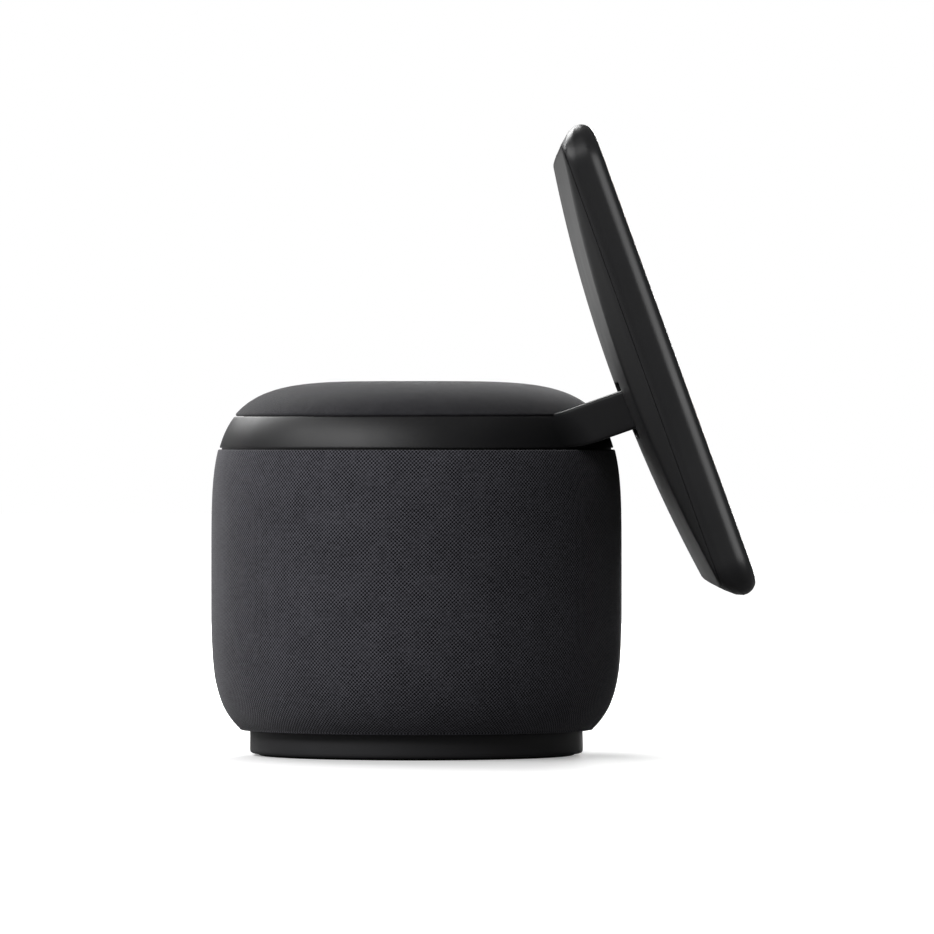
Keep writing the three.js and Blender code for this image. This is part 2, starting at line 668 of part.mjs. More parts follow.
/** The arm's plan at one height: parallel sides that flare out, in a fillet, to meet the ring. */
function armPlan(radius, halfWidth, fillet, reach) {
  const x = halfWidth + fillet;
  const y = -Math.sqrt((radius + fillet) ** 2 - x ** 2);
  const from = Math.atan2(-y, -x);
  const right = [];
  for (let i = 0; i <= 5; i++) {
    const a = from + ((Math.PI - from) * i) / 5;
    right.push([x + fillet * Math.cos(a), y + fillet * Math.sin(a)]);
  }
  right.push([halfWidth, -reach]);
  const left = right.map(([px, py]) => [-px, py]);
  return [...left, ...right.reverse()];
}

/** A solid that passes through one outline after another, each at its own height. */
function lofted(outlines, heights) {
  const count = outlines[0].length;
  const positions = [];
  const point = (k, i) => [...outlines[k][i % count], heights[k]];
  const face = (a, b, c) => positions.push(...a, ...b, ...c);
  for (let k = 0; k + 1 < outlines.length; k++) {
    for (let i = 0; i < count; i++) {
      face(point(k, i), point(k, i + 1), point(k + 1, i + 1));
      face(point(k, i), point(k + 1, i + 1), point(k + 1, i));
    }
  }
  for (const [k, way] of [[0, -1], [outlines.length - 1, 1]]) {
    const flat = outlines[k].map(([x, y]) => new THREE.Vector2(x, y));
    for (const [a, b, c] of THREE.ShapeUtils.triangulateShape(flat, [])) {
      if (way > 0) face(point(k, a), point(k, b), point(k, c));
      else face(point(k, a), point(k, c), point(k, b));
    }
  }
  const geometry = new THREE.BufferGeometry();
  geometry.setAttribute("position", new THREE.Float32BufferAttribute(positions, 3));
  return solid(geometry);
}

const armTop = pivot.z + arm.thickness;
const armReach = -pivot.y + arm.nose + arm.thickness;

/** The arm as one full form, less a skin. */
function armForm(skin) {
  const heights = [...levels(band.bottom, band.top, 3), band.top + 5, armTop];
  const outlines = heights.map((z) => {
    const radius = bandFace(Math.min(z, crown - 5)) - skin;
    return armPlan(radius, arm.halfWidth - skin, arm.rootFillet + skin, armReach);
  });
  return lofted(outlines, heights).intersect(crosswise(armSideView(-skin, 0), body.radius));
}

/** The band as a full disc. */
function bandForm() {
  const heights = levels(band.bottom, band.top, 3);
  return turned([[0, band.bottom], ...heights.map((z) => [bandFace(z), z]), [0, band.top]]);
}

/** Everything inside the cap's outer surface, grown by an amount, above a height. */
function capEnvelope(grow, bottom) {
  const heights = levels(bottom, crown - 0.05, 8);
  const outer = heights.map((z) => [barrel(z) + grow, z]);
  return turned([[0, bottom], ...outer, [0, crown + 8]]);
}

function makeTurret(group) {
  const disc = ring(hub.bore, turntableRadius, turntable.bottom, turntableTop);
  const tube = ring(hub.bore, hub.radius, hub.bottom, turntable.bottom + 0.1);
  const tab = block(
    [-stop.width / 2, -stopOuter, turntable.bottom - 3.6],
    [stop.width / 2, -stopInner, turntable.bottom + 0.1],
  );
  const ringScrews = around(turntableRadius - 4, 3, 90);
  const bores = (bottom, top) => ringScrews.map(([x, y]) => shifted(bar(screw.shank + gap, bottom, top), x, y, 0));
  const tapped = bores(turntable.bottom - 1, turntableTop + 1);
  add(group, "turntable", "aluminium", cut(join(disc, tube, tab), ...tapped));

  const retainerTop = deck.bottom - 0.8;
  add(group, "hub_retainer", "steel", ring(hub.radius + gap, hub.radius + 4, retainerTop - 1.6, retainerTop, fine));
  const teeth = prism(gearOutline(gears.ringTeeth, gears.ringModule, meshPhase(gears.ringTeeth, 0, true)), ringGearBottom, ringGearTop);
  const rootRadius = ringPitch - 1.25 * gears.ringModule;
  const eye = ring(0, rootRadius - gears.ringRim, ringGearBottom - 1, ringGearTop + 1);
  add(group, "ring_gear", "acetal", cut(teeth, eye));
  const upperBottom = deckTop + bearing.race + bearing.glide + 3 * gap;
  add(group, "bearing_upper", "steel", ring(bearing.inner, bearing.outer, upperBottom, ringGearTop, 24));

  const flangeBottom = turntableTop + gap;
  const flangeTop = flangeBottom + flange.thickness;
  const inside = (z) => bandFace(z) - band.wall;
  const voidHeights = [band.bottom - 1, 114, 116, flangeBottom];
  const lowerVoid = turned([[0, voidHeights[0]], ...voidHeights.map((z) => [inside(z), z]), [0, flangeBottom]]);
  const upperVoid = turned([
    [0, flangeTop],
    [inside(flangeTop), flangeTop],
    [inside(band.top), band.top],
    [inside(band.top), band.top + 1],
    [0, band.top + 1],
  ]);
  const flangeVoid = ring(0, inside(flangeTop) - flange.width, flangeBottom - 0.1, flangeTop + 0.1);
  const channel = armForm(arm.wall).intersect(
    block([-body.radius, -armReach - 5, 0], [body.radius, -48, 200]),
  );
  const channelVoid = cut(channel, capEnvelope(seam + arm.wall, band.top - 2.4));
  const sideDoors = block([-arm.halfWidth + arm.wall, -body.radius, flangeBottom - 0.1], [arm.halfWidth - arm.wall, -40, band.top - 2.4]);
  const pinHole = shifted(bar(hinge.pin + gap, -body.radius, body.radius, "x"), 0, pivot.y, pivot.z);
  const shell = cut(
    join(bandForm(), armForm(0)),
    capEnvelope(seam, band.top),
    lowerVoid,
    upperVoid,
    flangeVoid,
    channelVoid,
    block([-arm.coreHalfWidth - 1, -armReach + 12, band.bottom + 4], [arm.coreHalfWidth + 1, -50, band.top + 1.5])
      .intersect(armForm(arm.wall)),
    sideDoors.intersect(turned([[0, 100], [inside(band.bottom + 4), 100], [inside(band.bottom + 4), 130], [0, 130]])),
    pinHole,
    ...bores(flangeBottom - 1, flangeTop + 1),
  );
  add(group, "swivel_ring", "satin", shell);
  ringScrews.forEach(([x, y], i) => {
    const length = flange.thickness + turntable.thickness;
    add(group, `ring_screw_${i + 1}`, "steel", shifted(screwSolid(length), x, y, flangeTop + gap));
  });

  makeArmInside(group, flangeTop);
  makeCap(group, flangeTop);
}

/** The cast arm core on the turntable, the hinge pin that it holds, and the cable that passes over it. */
function makeArmInside(group, flangeTop) {
  const half = arm.core / 2;
  const level = turntableTop + gap + half;
  const turn = arm.rise * degrees;
  const corner = pivot.y + (pivot.z - arm.coreDrop / toWards.y - level) / Math.tan(turn);
  const along = (distance, offset) => [
    pivot.y + distance * toWards.y + offset * toWards.z,
    pivot.z - distance * toWards.z + offset * toWards.y,
  ];
  const [top, bottom] = [half - arm.coreDrop, -half - arm.coreDrop];
  const outline = [
    [corner + 34, level + half],
    [corner + half * Math.tan(turn / 2), level + half],
    along(0, top),
    along(0, bottom),
    [corner - half * Math.tan(turn / 2), level - half],
    [corner + 34, level - half],
  ];
  const knuckle = shifted(bar(4.6, -arm.coreHalfWidth, arm.coreHalfWidth, "x"), 0, pivot.y, pivot.z);
  const eye = shifted(bar(hinge.pin + gap, -body.radius, body.radius, "x"), 0, pivot.y, pivot.z);
  const plate = cut(join(crosswise(outline, arm.coreHalfWidth), knuckle), eye);
  const window = block([-12, corner + 4, level - 9], [12, corner + 24, level + 9]);
  add(group, "arm_core", "aluminium", cut(plate, window));

  const pinEnd = arm.halfWidth + pocket.clearance + pocket.wall + gap + bracket.length - 1;
  add(group, "hinge_pin", "steel", shifted(bar(hinge.pin, -pinEnd, pinEnd, "x"), 0, pivot.y, pivot.z));

  const over = top + 0.7;
  const straight = (distance) => [0, ...along(distance, over)];
  const route = [
    [0, 0, hub.bottom + 3],
    [0, 0, turntableTop - 2],
    [0, -5, turntableTop + 3.2],
    [0, -14, level + half + 0.8],
    [0, -30, level + half + 0.8],
    [0, corner + 5, level + half + 0.8],
    straight(17),
    straight(7),
  ];
  add(group, "arm_cable", "cable", cable(route, 4, 0.4, 16));
}

function makeCap(group, flangeTop) {
  const skirtBottom = flangeTop + gap + screw.headHeight + cap.screwClearance;
  const core = dome(fabric.thickness + gap, band.top + seam, 6);
  const skirtRadius = bandFace(band.top) - band.wall - seam;
  const skirt = ring(0, skirtRadius, skirtBottom, band.top + seam + 0.1);
  const hollowTop = crown - fabric.thickness - gap - cap.wall;
  const hollow = turned([
    [0, skirtBottom - 1],
    [skirtRadius - cap.wall, skirtBottom - 1],
    [skirtRadius - cap.wall, band.top + seam],
    [skirtRadius - cap.wall - 6, band.top + 4],
    [skirtRadius - cap.wall - 22, hollowTop - 1],
    [0, hollowTop],
  ]);
  const front = block(
    [-arm.halfWidth, -body.radius, skirtBottom - 1],
    [arm.halfWidth, -45, band.top + seam - 0.2],
  );
  add(group, "top_cap", "plastic", cut(join(core, skirt), hollow, front));
  const cloth = cut(dome(0, band.top + seam, 6), dome(fabric.thickness, band.top + seam - 0.5, 6));
  add(group, "fabric_cap", "knit", cloth);
}

// ---------------------------------------------------------------- the display

/** The smooth larger of two values. */
function softMax(a, b, width) {
  const share = Math.min(1, Math.max(0, 0.5 + (a - b) / (2 * width)));
  return b + (a - b) * share + width * share * (1 - share);
}

/** Where the back surface is, forward of the pivot, at x across and u above the display's middle. */
function backSurface(x, u) {
  const crownHere = -display.back + display.crownAcross * x * x + display.crownDown * u * u;
  const side = display.sideCrease - display.sideSlope * (display.width / 2 - Math.abs(x));
  const end = display.endCrease - display.endSlope * (display.height / 2 - Math.abs(u));
  return softMax(softMax(crownHere, side, display.blend), end, display.blend);
}

/** Points round a rounded rectangle, the same number whatever its size. */
function roundedRectangle(width, height, corner) {
  const radius = Math.max(corner, 1);
  const [w, h] = [width / 2 - radius, height / 2 - radius];
  const points = [];
  const corners = [[w, h, 0], [-w, h, 1], [-w, -h, 2], [w, -h, 3]];
  corners.forEach(([x, y, quarter], k) => {
    for (let i = 0; i <= 3; i++) {
      const a = (quarter + i / 3) * (Math.PI / 2);
      points.push([x + radius * Math.cos(a), y + radius * Math.sin(a)]);
    }
    const steps = quarter % 2 === 0 ? 6 : 4;
    const [nx, ny, next] = corners[(k + 1) % 4];
    const a = (next * Math.PI) / 2;
    const [fx, fy] = points[points.length - 1];
    const [tx, ty] = [nx + radius * Math.cos(a), ny + radius * Math.sin(a)];
    for (let i = 1; i < steps; i++) points.push([fx + ((tx - fx) * i) / steps, fy + ((ty - fy) * i) / steps]);
  });
  return points;
}

/** The whole display as one closed form, less a skin all round. Local axes: x across, z up, front towards -y. */
function displayForm(skin) {
  const insets = [0, 3.5, 7, 12, 24, 44, 66].filter((d) => d === 0 || d > skin);
  const rings = [];
  const plan = (inset) =>
    roundedRectangle(display.width - 2 * inset, display.height - 2 * inset, display.corner - inset);
  for (const inset of insets.slice().reverse()) {
    const d = Math.max(inset, skin);
    rings.push(plan(d).map(([x, u]) => [x, -Math.min(backSurface(x, u) + skin, display.front - display.edgeRound), u + display.raise]));
  }
  const radius = display.edgeRound - skin;
  for (let i = 0; i <= 3; i++) {
    const a = (i * Math.PI) / 6;
    const inset = skin + radius * (1 - Math.cos(a));
    const forward = display.front - display.edgeRound + radius * Math.sin(a);
    rings.push(plan(inset).map(([x, u]) => [x, -forward, u + display.raise]));
  }
  const count = rings[0].length;
  const positions = [];
  const face = (a, b, c) => positions.push(...a, ...b, ...c);
  for (let k = 0; k + 1 < rings.length; k++) {
    for (let i = 0; i < count; i++) {
      const j = (i + 1) % count;
      face(rings[k][i], rings[k][j], rings[k + 1][j]);
      face(rings[k][i], rings[k + 1][j], rings[k + 1][i]);
    }
  }
  const backMiddle = [0, display.back - skin, display.raise];
  const frontMiddle = [0, -(display.front - skin), display.raise];
  for (let i = 0; i < count; i++) {
    const j = (i + 1) % count;
    face(backMiddle, rings[0][j], rings[0][i]);
    face(frontMiddle, rings[rings.length - 1][i], rings[rings.length - 1][j]);
  }
  const geometry = new THREE.BufferGeometry();
  geometry.setAttribute("position", new THREE.Float32BufferAttribute(positions, 3));
  return solid(geometry);
}

/** A rounded plate of the display, between two distances forward of the pivot. */
function plate(width, height, corner, from, to, raise = display.raise) {
  const outline = roundedRectangle(width, height, corner);
  const flat = prism(outline, from, to);
  return moved(flat, new THREE.Matrix4().makeRotationX(Math.PI / 2).setPosition(0, 0, raise));
}

/** A block of the display: x, up and forward ranges. */
const lump = ([x0, x1], [u0, u1], [v0, v1]) => block([x0, -v1, u0], [x1, -v0, u1]);

const displayTop = display.raise + display.height / 2;
const glassBack = display.front - glass.thickness;
const panelFront = glassBack - gap;
const panelBack = panelFront - panel.thickness;
const chassisFront = panelBack - gap;
const chassisBack = chassisFront - chassis.thickness;
const pocketFloor = arm.nose + pocket.floor;
const pocketHalfHeight =
  arm.thickness / 2 / Math.cos(tiltRange * degrees) +
  display.back * Math.tan(tiltRange * degrees) +
  pocket.headroom;
const cameraPlace = display.width / 2 - camera.fromEdge;
const shutterPlace = cameraPlace - shutter.travel;
const chamferTurn = -Math.atan(1 / display.endSlope);

/** The frame of the slanted face along the top edge: +z out of it, x across. */
function onChamfer() {
  const forward = display.endCrease - display.endSlope * button.inset;
  return new THREE.Matrix4()
    .makeTranslation(0, -forward, displayTop - button.inset)
    .multiply(new THREE.Matrix4().makeRotationX(chamferTurn));
}

/** A bar with round ends, along x, standing along z. */
function obround(length, width, bottom, top) {
  const half = length / 2 - width / 2;
  const outline = [];
  for (const [x, start] of [[half, -90], [-half, 90]]) {
    for (let i = 0; i <= 6; i++) {
      const a = (start + i * 30) * degrees;
      outline.push([x + (width / 2) * Math.cos(a), (width / 2) * Math.sin(a)]);
    }
  }
  return prism(outline, bottom, top);
}

function makeDisplay(group) {
  const full = displayForm(0);
  const shell = cut(full, displayForm(display.wall));
  const wide = display.width;
  const behind = lump([-wide, wide], [-wide, wide], [-50, display.sideCrease - gap / 2]);
  const ahead = lump([-wide, wide], [-wide, wide], [display.sideCrease + gap / 2, 50]);

  const pocketHalf = arm.halfWidth + pocket.clearance;
  const outerHalf = pocketHalf + pocket.wall;
  const tray = lump([-outerHalf, outerHalf], [-pocketHalfHeight - pocket.wall, pocketHalfHeight + pocket.wall], [-20, pocketFloor + pocket.wall]);
  const trayVoid = lump([-pocketHalf, pocketHalf], [-pocketHalfHeight, pocketHalfHeight], [-21, pocketFloor]);
  const pinHole = bar(hinge.pin + gap, -display.width / 4, display.width / 4, "x");
  const back = cut(join(shell.intersect(behind), tray.intersect(full)), trayVoid, pinHole);
  add(group, "back_cover", "satin", back);

  const opening = plate(display.width - 2 * (glass.margin - gap), display.height - 2 * (glass.margin - gap), display.corner - glass.margin + gap, glassBack - gap, display.front + 1);
  const inner = plate(display.width - 2 * (glass.margin + glass.ledge), display.height - 2 * (glass.margin + glass.ledge), 3, chassisBack - 4, display.front + 1);
  const controls = new THREE.Group();
  controls.applyMatrix4(onChamfer());
  group.add(controls);
  const slots = Object.values(buttonPlaces).map((x) => {
    return shifted(obround(button.length + 2 * gap, button.width + 2 * gap, -8, 5), x, 0, 0);
  });
  const shutterSlot = shifted(obround(shutter.knob + shutter.travel + 2 * gap, shutter.width + 2 * gap, -8, 5), shutterPlace + shutter.travel / 2, 0, 0);
  const cuts = [...slots, shutterSlot].map((made) => moved(made, onChamfer()));
  add(group, "side_frame", "satin", cut(shell.intersect(ahead), opening, inner, ...cuts));

  const inset = 2 * glass.margin;
  add(group, "cover_glass", "glass", plate(display.width - inset, display.height - inset, display.corner - glass.margin, glassBack, display.front));
  add(group, "lcd_panel", "glass", plate(display.width - 2 * panel.sideMargin, display.height - 2 * panel.endMargin, 2, panelBack, panelFront));
  const slot = lump([-20, 20], [display.raise - 60, display.raise - 40], [chassisBack - 1, chassisFront + 1]);
  const sheet = plate(display.width - 2 * chassis.sideMargin, display.height - 2 * chassis.endMargin, 4, chassisBack, chassisFront);
  const cameraGap = lump([cameraPlace - 30, cameraPlace + camera.side], [displayTop - camera.drop - camera.side, displayTop], [chassisBack - 1, chassisFront + 1]);
  add(group, "display_chassis", "aluminium", cut(sheet, slot, cameraGap));

  makeControls(controls);
  makeElectronics(group);
  makeHingeBrackets(group);
}

function makeControls(group) {
  for (const [name, x] of Object.entries(buttonPlaces)) {
    const capSolid = obround(button.length, button.width, -button.deep, button.proud);
    add(group, name, "satin", shifted(capSolid, x, 0, 0));
  }
  const knob = obround(shutter.knob, shutter.width, -shutter.deep, button.proud + 0.3);
  add(group, "shutter_knob", "satin", shifted(knob, shutterPlace, 0, 0));

  const stripTop = -button.deep - button.travel - 0.7;
  const [first, last] = [buttonPlaces.mute_button - 9, buttonPlaces.volume_up_button + 9];
  const strip = block([first, -1.9, stripTop - 1], [last, 1.9, stripTop]);
  const switches = Object.values(buttonPlaces).map((x) => {
    return block([x - 1.6, -1.5, stripTop - 0.1], [x + 1.6, 1.5, stripTop + 0.4]);
  });
  add(group, "button_board", "board", join(strip, ...switches));
}

function makeElectronics(group) {
  const top = display.raise + display.height / 2;
  const boardFace = chassisBack - 1;
  const boardBack = boardFace - 1.2;
  const sheet = lump([-62, 62], [20, 70], [boardBack, boardFace]);
  const chips = [
    lump([-20, 0], [38, 58], [boardBack - 1.4, boardBack + 0.1]),
    lump([8, 20], [42, 54], [boardBack - 1.2, boardBack + 0.1]),
    lump([-50, -36], [26, 36], [boardBack - 2, boardBack + 0.1]),
    lump([38, 54], [24, 32], [boardBack - 2.2, boardBack + 0.1]),
  ];
  add(group, "display_board", "board", join(sheet, ...chips));
  const cameraFace = glassBack - gap - shutter.bladeThickness - gap;
  const middle = top - camera.drop;
  const half = camera.side / 2;
  const can = lump([cameraPlace - half, cameraPlace + half], [middle - half, middle + half], [cameraFace - camera.depth, cameraFace - 0.6]);
  add(group, "camera_module", "satin", can);
  const lens = bar(2.4, -cameraFace, -cameraFace + 0.6 - 0.1, "y", fine);
  add(group, "camera_lens", "lens", shifted(lens, cameraPlace, 0, middle));

  const bladeBack = cameraFace + gap;
  const bladeHalf = shutter.blade / 2;
  const bladePlace = cameraPlace - shutter.travel;
  const blade = lump([bladePlace - bladeHalf + 1.6, bladePlace + bladeHalf - 1.6], [middle - 3.8, middle + 4.7], [bladeBack, bladeBack + shutter.bladeThickness]);
  add(group, "shutter_blade", "satin", blade);
  const strip = lump([buttonPlaces.volume_up_button + 20, shutterPlace - 14], [middle - 1.5, middle + 2.5], [chassisFront + 0.4, chassisFront + 1.4]);
  const mics = [0.2, 0.8].map((share) => {
    const x = buttonPlaces.volume_up_button + 20 + share * (shutterPlace - 34 - buttonPlaces.volume_up_button);
    return lump([x - 1.8, x + 1.8], [middle - 1, middle + 2], [chassisFront + 1.3, chassisFront + 2.2]);
  });
  add(group, "microphone_board", "board", join(strip, ...mics));
}

function makeHingeBrackets(group) {
  const start = arm.halfWidth + pocket.clearance + pocket.wall + gap;
  for (const [name, side] of [["left", -1], ["right", 1]]) {
    const [from, to] = [start, start + bracket.length].map((x) => x * side).sort((a, b) => a - b);
    const footEdge = side * (start + bracket.foot);
    const foot = lump(
      [Math.min(from, footEdge), Math.max(to, footEdge)],
      [-9, 9],
      [chassisBack - gap - bracket.footThickness, chassisBack - gap],
    );
    const web = lump([from, to], [-3, 3], [0, chassisBack - gap - 0.5]);
    const barrelSolid = bar(bracket.radius, from, to, "x");
    const eye = bar(hinge.pin + gap, -display.width / 3, display.width / 3, "x");
    const around = lump([from, to], [-9, 9], [-20, chassisBack - gap]);
    add(group, `hinge_bracket_${name}`, "steel", cut(join(foot, web, barrelSolid.intersect(around)), eye));
  }
}

// ---------------------------------------------------------------- the assembly

const speaker = new THREE.Group();
const base = new THREE.Group();
const turret = new THREE.Group();
const screen = new THREE.Group();
screen.position.set(0, pivot.y, pivot.z);
screen.rotation.x = -restTilt * degrees;
turret.add(screen);
speaker.add(base, turret);

makeFoot(base);
makeBasePan(base);
makeHousing(base);
makePower(base);
makeWoofer(base);
makeTweeters(base);
makeDrive(base);
makeGears(speaker);
makeTurret(turret);
makeDisplay(screen);

export default speaker;
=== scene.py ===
"""Looks for a smart display speaker: a fabric barrel, a turret that turns and a screen that tilts.

Sizes are in millimetres and become metres where a mesh is made. The frame has +Z up, the swivel axis on Z
and the face of the screen towards -Y.
"""

import json
import logging
import math
from collections.abc import Callable, Sequence
from dataclasses import dataclass, field
from enum import Enum
from functools import partial

import bmesh
import bpy
from mathutils import Matrix, Vector

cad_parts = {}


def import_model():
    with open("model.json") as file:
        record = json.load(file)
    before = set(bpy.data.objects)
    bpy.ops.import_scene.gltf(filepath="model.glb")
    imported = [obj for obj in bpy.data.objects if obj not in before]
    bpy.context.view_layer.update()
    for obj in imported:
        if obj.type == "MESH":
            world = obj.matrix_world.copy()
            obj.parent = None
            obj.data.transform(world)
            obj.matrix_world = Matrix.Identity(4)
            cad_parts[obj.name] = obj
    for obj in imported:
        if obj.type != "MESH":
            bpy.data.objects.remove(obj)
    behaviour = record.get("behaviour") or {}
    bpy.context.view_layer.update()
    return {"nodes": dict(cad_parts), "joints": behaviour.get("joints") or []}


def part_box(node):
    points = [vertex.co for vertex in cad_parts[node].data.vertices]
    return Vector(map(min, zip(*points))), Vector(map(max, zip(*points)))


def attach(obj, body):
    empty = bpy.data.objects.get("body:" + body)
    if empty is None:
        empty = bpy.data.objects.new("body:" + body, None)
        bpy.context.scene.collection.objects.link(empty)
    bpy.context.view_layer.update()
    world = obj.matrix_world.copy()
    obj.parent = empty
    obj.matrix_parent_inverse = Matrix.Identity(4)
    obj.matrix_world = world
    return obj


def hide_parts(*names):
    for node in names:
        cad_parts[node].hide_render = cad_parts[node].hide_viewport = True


MM = 0.001
WELD = 2e-6  # metres within which two points become one
PATTERN = "pattern"  # the name of the texture places
LOG = logging.getLogger("speaker")

Point = tuple[float, float, float]
Flat = tuple[float, float]
Color = tuple[float, float, float]
Piece = bpy.types.Object
Node = bpy.types.Node
Tree = bpy.types.NodeTree
Socket = bpy.types.NodeSocket
Ports = bpy.types.bpy_prop_collection
Feeds = dict[str | int, object]
Group = tuple["Bench", Ports, Node]
Place = Callable[[int, int], Flat]
Depth = Callable[[float, float], float]


class Body(Enum):
    """The moving bodies that a piece can ride on."""

    BASE = "base"
    TURRET = "turret"
    DISPLAY = "display"
    MUTE = "mute_button"
    VOLUME_DOWN = "volume_down_button"
    VOLUME_UP = "volume_up_button"
    SHUTTER = "shutter"


class Slot(Enum):
    """The record's material slots."""

    KNIT = "knit"
    SATIN = "satin_plastic"
    RUBBER = "rubber"
    GLASS = "front_glass"


class Carve(Enum):
    """What one solid does to another."""

    TAKE = "DIFFERENCE"
    JOIN = "UNION"
    KEEP = "INTERSECT"


BLACK: Color = (0.02, 0.02, 0.02)
DUST: Color = (0.32, 0.31, 0.29)


# ---------------------------------------------------------------- meshes


def nowhere(ring: int, step: int) -> Flat:
    """The texture place of a face corner that needs none."""
    return (0.0, 0.0)


@dataclass
class Form:
    """A closed mesh in the making, in millimetres, with a texture place for each face corner."""

    points: list[Point] = field(default_factory=list)
    faces: list[tuple[int, ...]] = field(default_factory=list)
    places: list[tuple[Flat, ...]] = field(default_factory=list)

    def skin(self, rings: Sequence[Sequence[Point]], closed: bool = False, place: Place = nowhere) -> list[int]:
        """Joins rings of points, each with the same number of points, by quads.

        Args:
            rings: the rings in order.
            closed: whether the last ring joins the first.
            place: gives the texture place of a point of a ring; both counts run one past the end.

        Returns:
            The index of the first point of each ring.
        """
        start, count = len(self.points), len(rings[0])
        for ring in rings:
            self.points.extend(ring)
        for i in range(len(rings) if closed else len(rings) - 1):
            after = (i + 1) % len(rings)
            for j in range(count):
                k = (j + 1) % count
                low, high = start + i * count, start + after * count
                self.faces.append((low + j, low + k, high + k, high + j))
                self.places.append((place(i, j), place(i, j + 1), place(i + 1, j + 1), place(i + 1, j)))
        return [start + i * count for i in range(len(rings))]

    def pole(self, first: int, count: int, tip: Point, place: Place = nowhere, rows: Sequence[int] = (0, 0)) -> None:
        """Closes a ring with triangles that meet at a tip.

        Args:
            first: the index of the ring's first point.
            count: the number of points in the ring.
            tip: where the triangles meet.
            place: gives the texture place of a point of a ring.
            rows: the numbers of the ring and the tip for place.
        """
        ring, beyond = rows
        self.points.append(tip)
        end = len(self.points) - 1
        for j in range(count):
            self.faces.append((first + j, first + (j + 1) % count, end))
            self.places.append((place(ring, j), place(ring, j + 1), place(beyond, j)))

    def lid(self, first: int, count: int) -> None:
        """Closes a ring with one flat face, its texture places the plan of its points.

        Args:
            first: the index of the ring's first point.
            count: the number of points in the ring.
        """
        ring = tuple(range(first, first + count))
        self.faces.append(ring)
        self.places.append(tuple((self.points[i][0], self.points[i][2]) for i in ring))

    def tube(self, rings: Sequence[Sequence[Point]]) -> "Form":
        """Joins rings of points, closes both ends with flat faces, and gives the form back.

        Args:
            rings: the rings in order.

        Returns:
            The form.
        """
        starts = self.skin(rings)
        self.lid(starts[0], len(rings[0]))
        self.lid(starts[-1], len(rings[0]))
        return self

    def built(self, name: str, pose: Matrix | None = None) -> Piece:
        """Makes the mesh and its object.

        Args:
            name: the piece's name.
            pose: carries the points from their own axes to the frame, in millimetres.

        Returns:
            The new object, with its faces pointing out.
        """
        turn = pose or Matrix.Identity(4)
        mesh = bpy.data.meshes.new(name)
        mesh.from_pydata([(turn @ Vector(p)) * MM for p in self.points], [], self.faces)
        layer = mesh.uv_layers.new(name=PATTERN)
        corners = [place for face in self.places for place in face]
        for corner, place in zip(layer.data, corners, strict=True):
            corner.uv = place
        work = bmesh.new()
        work.from_mesh(mesh)
        bmesh.ops.remove_doubles(work, verts=work.verts, dist=WELD)
        bmesh.ops.recalc_face_normals(work, faces=work.faces)
        work.to_mesh(mesh)
        work.free()
        return shown(name, mesh)


def shown(name: str, data: bpy.types.ID, place: Point | None = None, aim: Point = (0.0, 0.0, 0.0)) -> Piece:
    """Puts an object in the scene.

    Args:
        name: its name.
        data: its mesh, light or camera.
        place: where it stands, or None for the frame's own origin, unturned.
        aim: what it faces.

    Returns:
        The object.
    """
    made = bpy.data.objects.new(name, data)
    if place:
        made.location = place
        made.rotation_euler = (Vector(aim) - Vector(place)).to_track_quat("-Z", "Y").to_euler()
    bpy.context.scene.collection.objects.link(made)
    return made


def turned(outline: Sequence[Flat], count: int, place: Place = nowhere) -> Form:
    """A form turned about Z.

    Args:
        outline: [radius, height] points; a closed loop, or a line from the axis back to the axis.
        count: the number of steps in a full turn.
        place: gives the texture place of a point.

    Returns:
        The closed form.
    """
    form = Form()
    poles = outline[0][0] == 0
    rows = outline[1:-1] if poles else outline
    turns = [2 * math.pi * j / count for j in range(count)]
    rings = [[(r * math.cos(a), r * math.sin(a), z) for a in turns] for r, z in rows]
    starts = form.skin(rings, closed=not poles, place=place)
    if poles:
        form.pole(starts[0], count, (0.0, 0.0, outline[0][1]), place)
        form.pole(starts[-1], count, (0.0, 0.0, outline[-1][1]), place, (len(rows) - 1, len(rows)))
    return form


def slab(low: Point, high: Point) -> Form:
    """A block between two corners, for cutting with."""
    plan = ((low[0], low[1]), (high[0], low[1]), (high[0], high[1]), (low[0], high[1]))
    return Form().tube([[(x, y, z) for x, y in plan] for z in (low[2], high[2])])


def softened(corners: Sequence[Point], steps: int = 4, closed: bool = True) -> list[Flat]:
    """An outline with rounded corners.

    Args:
        corners: [a, b, reach] points, where reach is how far before the corner its rounding starts.
        steps: the steps of each rounding.
        closed: whether the outline goes back to its start.

    Returns:
        The points of the outline, the same number for the same corners.
    """
    made: list[Flat] = []
    count = len(corners)
    for i, (a, b, reach) in enumerate(corners):
        if reach <= 0 or (not closed and i in (0, count - 1)):
            made.append((a, b))
            continue
        here = Vector((a, b))
        before, after = (Vector(corners[(i + way) % count][:2]) - here for way in (-1, 1))
        first = here + before * min(reach / max(before.length, 1e-9), 0.48)
        last = here + after * min(reach / max(after.length, 1e-9), 0.48)
        for k in range(steps + 1):
            t = k / steps
            spot = first * (1 - t) ** 2 + here * 2 * t * (1 - t) + last * t * t
            made.append((spot.x, spot.y))
    return made


def carve(target: Piece, tool: Piece, how: Carve) -> None:
    """Joins a solid to another, or takes it away, and removes the tool.

    Args:
        target: the solid that changes.
        tool: the other solid.
        how: what happens.
    """
    change = target.modifiers.new("carve", "BOOLEAN")
    change.operation = how.value
    change.solver = "EXACT"
    change.object = tool
    bpy.context.view_layer.update()
    mesh = bpy.data.meshes.new_from_object(target.evaluated_get(bpy.context.evaluated_depsgraph_get()))
    target.modifiers.clear()
    old, target.data = target.data, mesh
    bpy.data.meshes.remove(old)
    spare = tool.data
    bpy.data.objects.remove(tool)
    bpy.data.meshes.remove(spare)


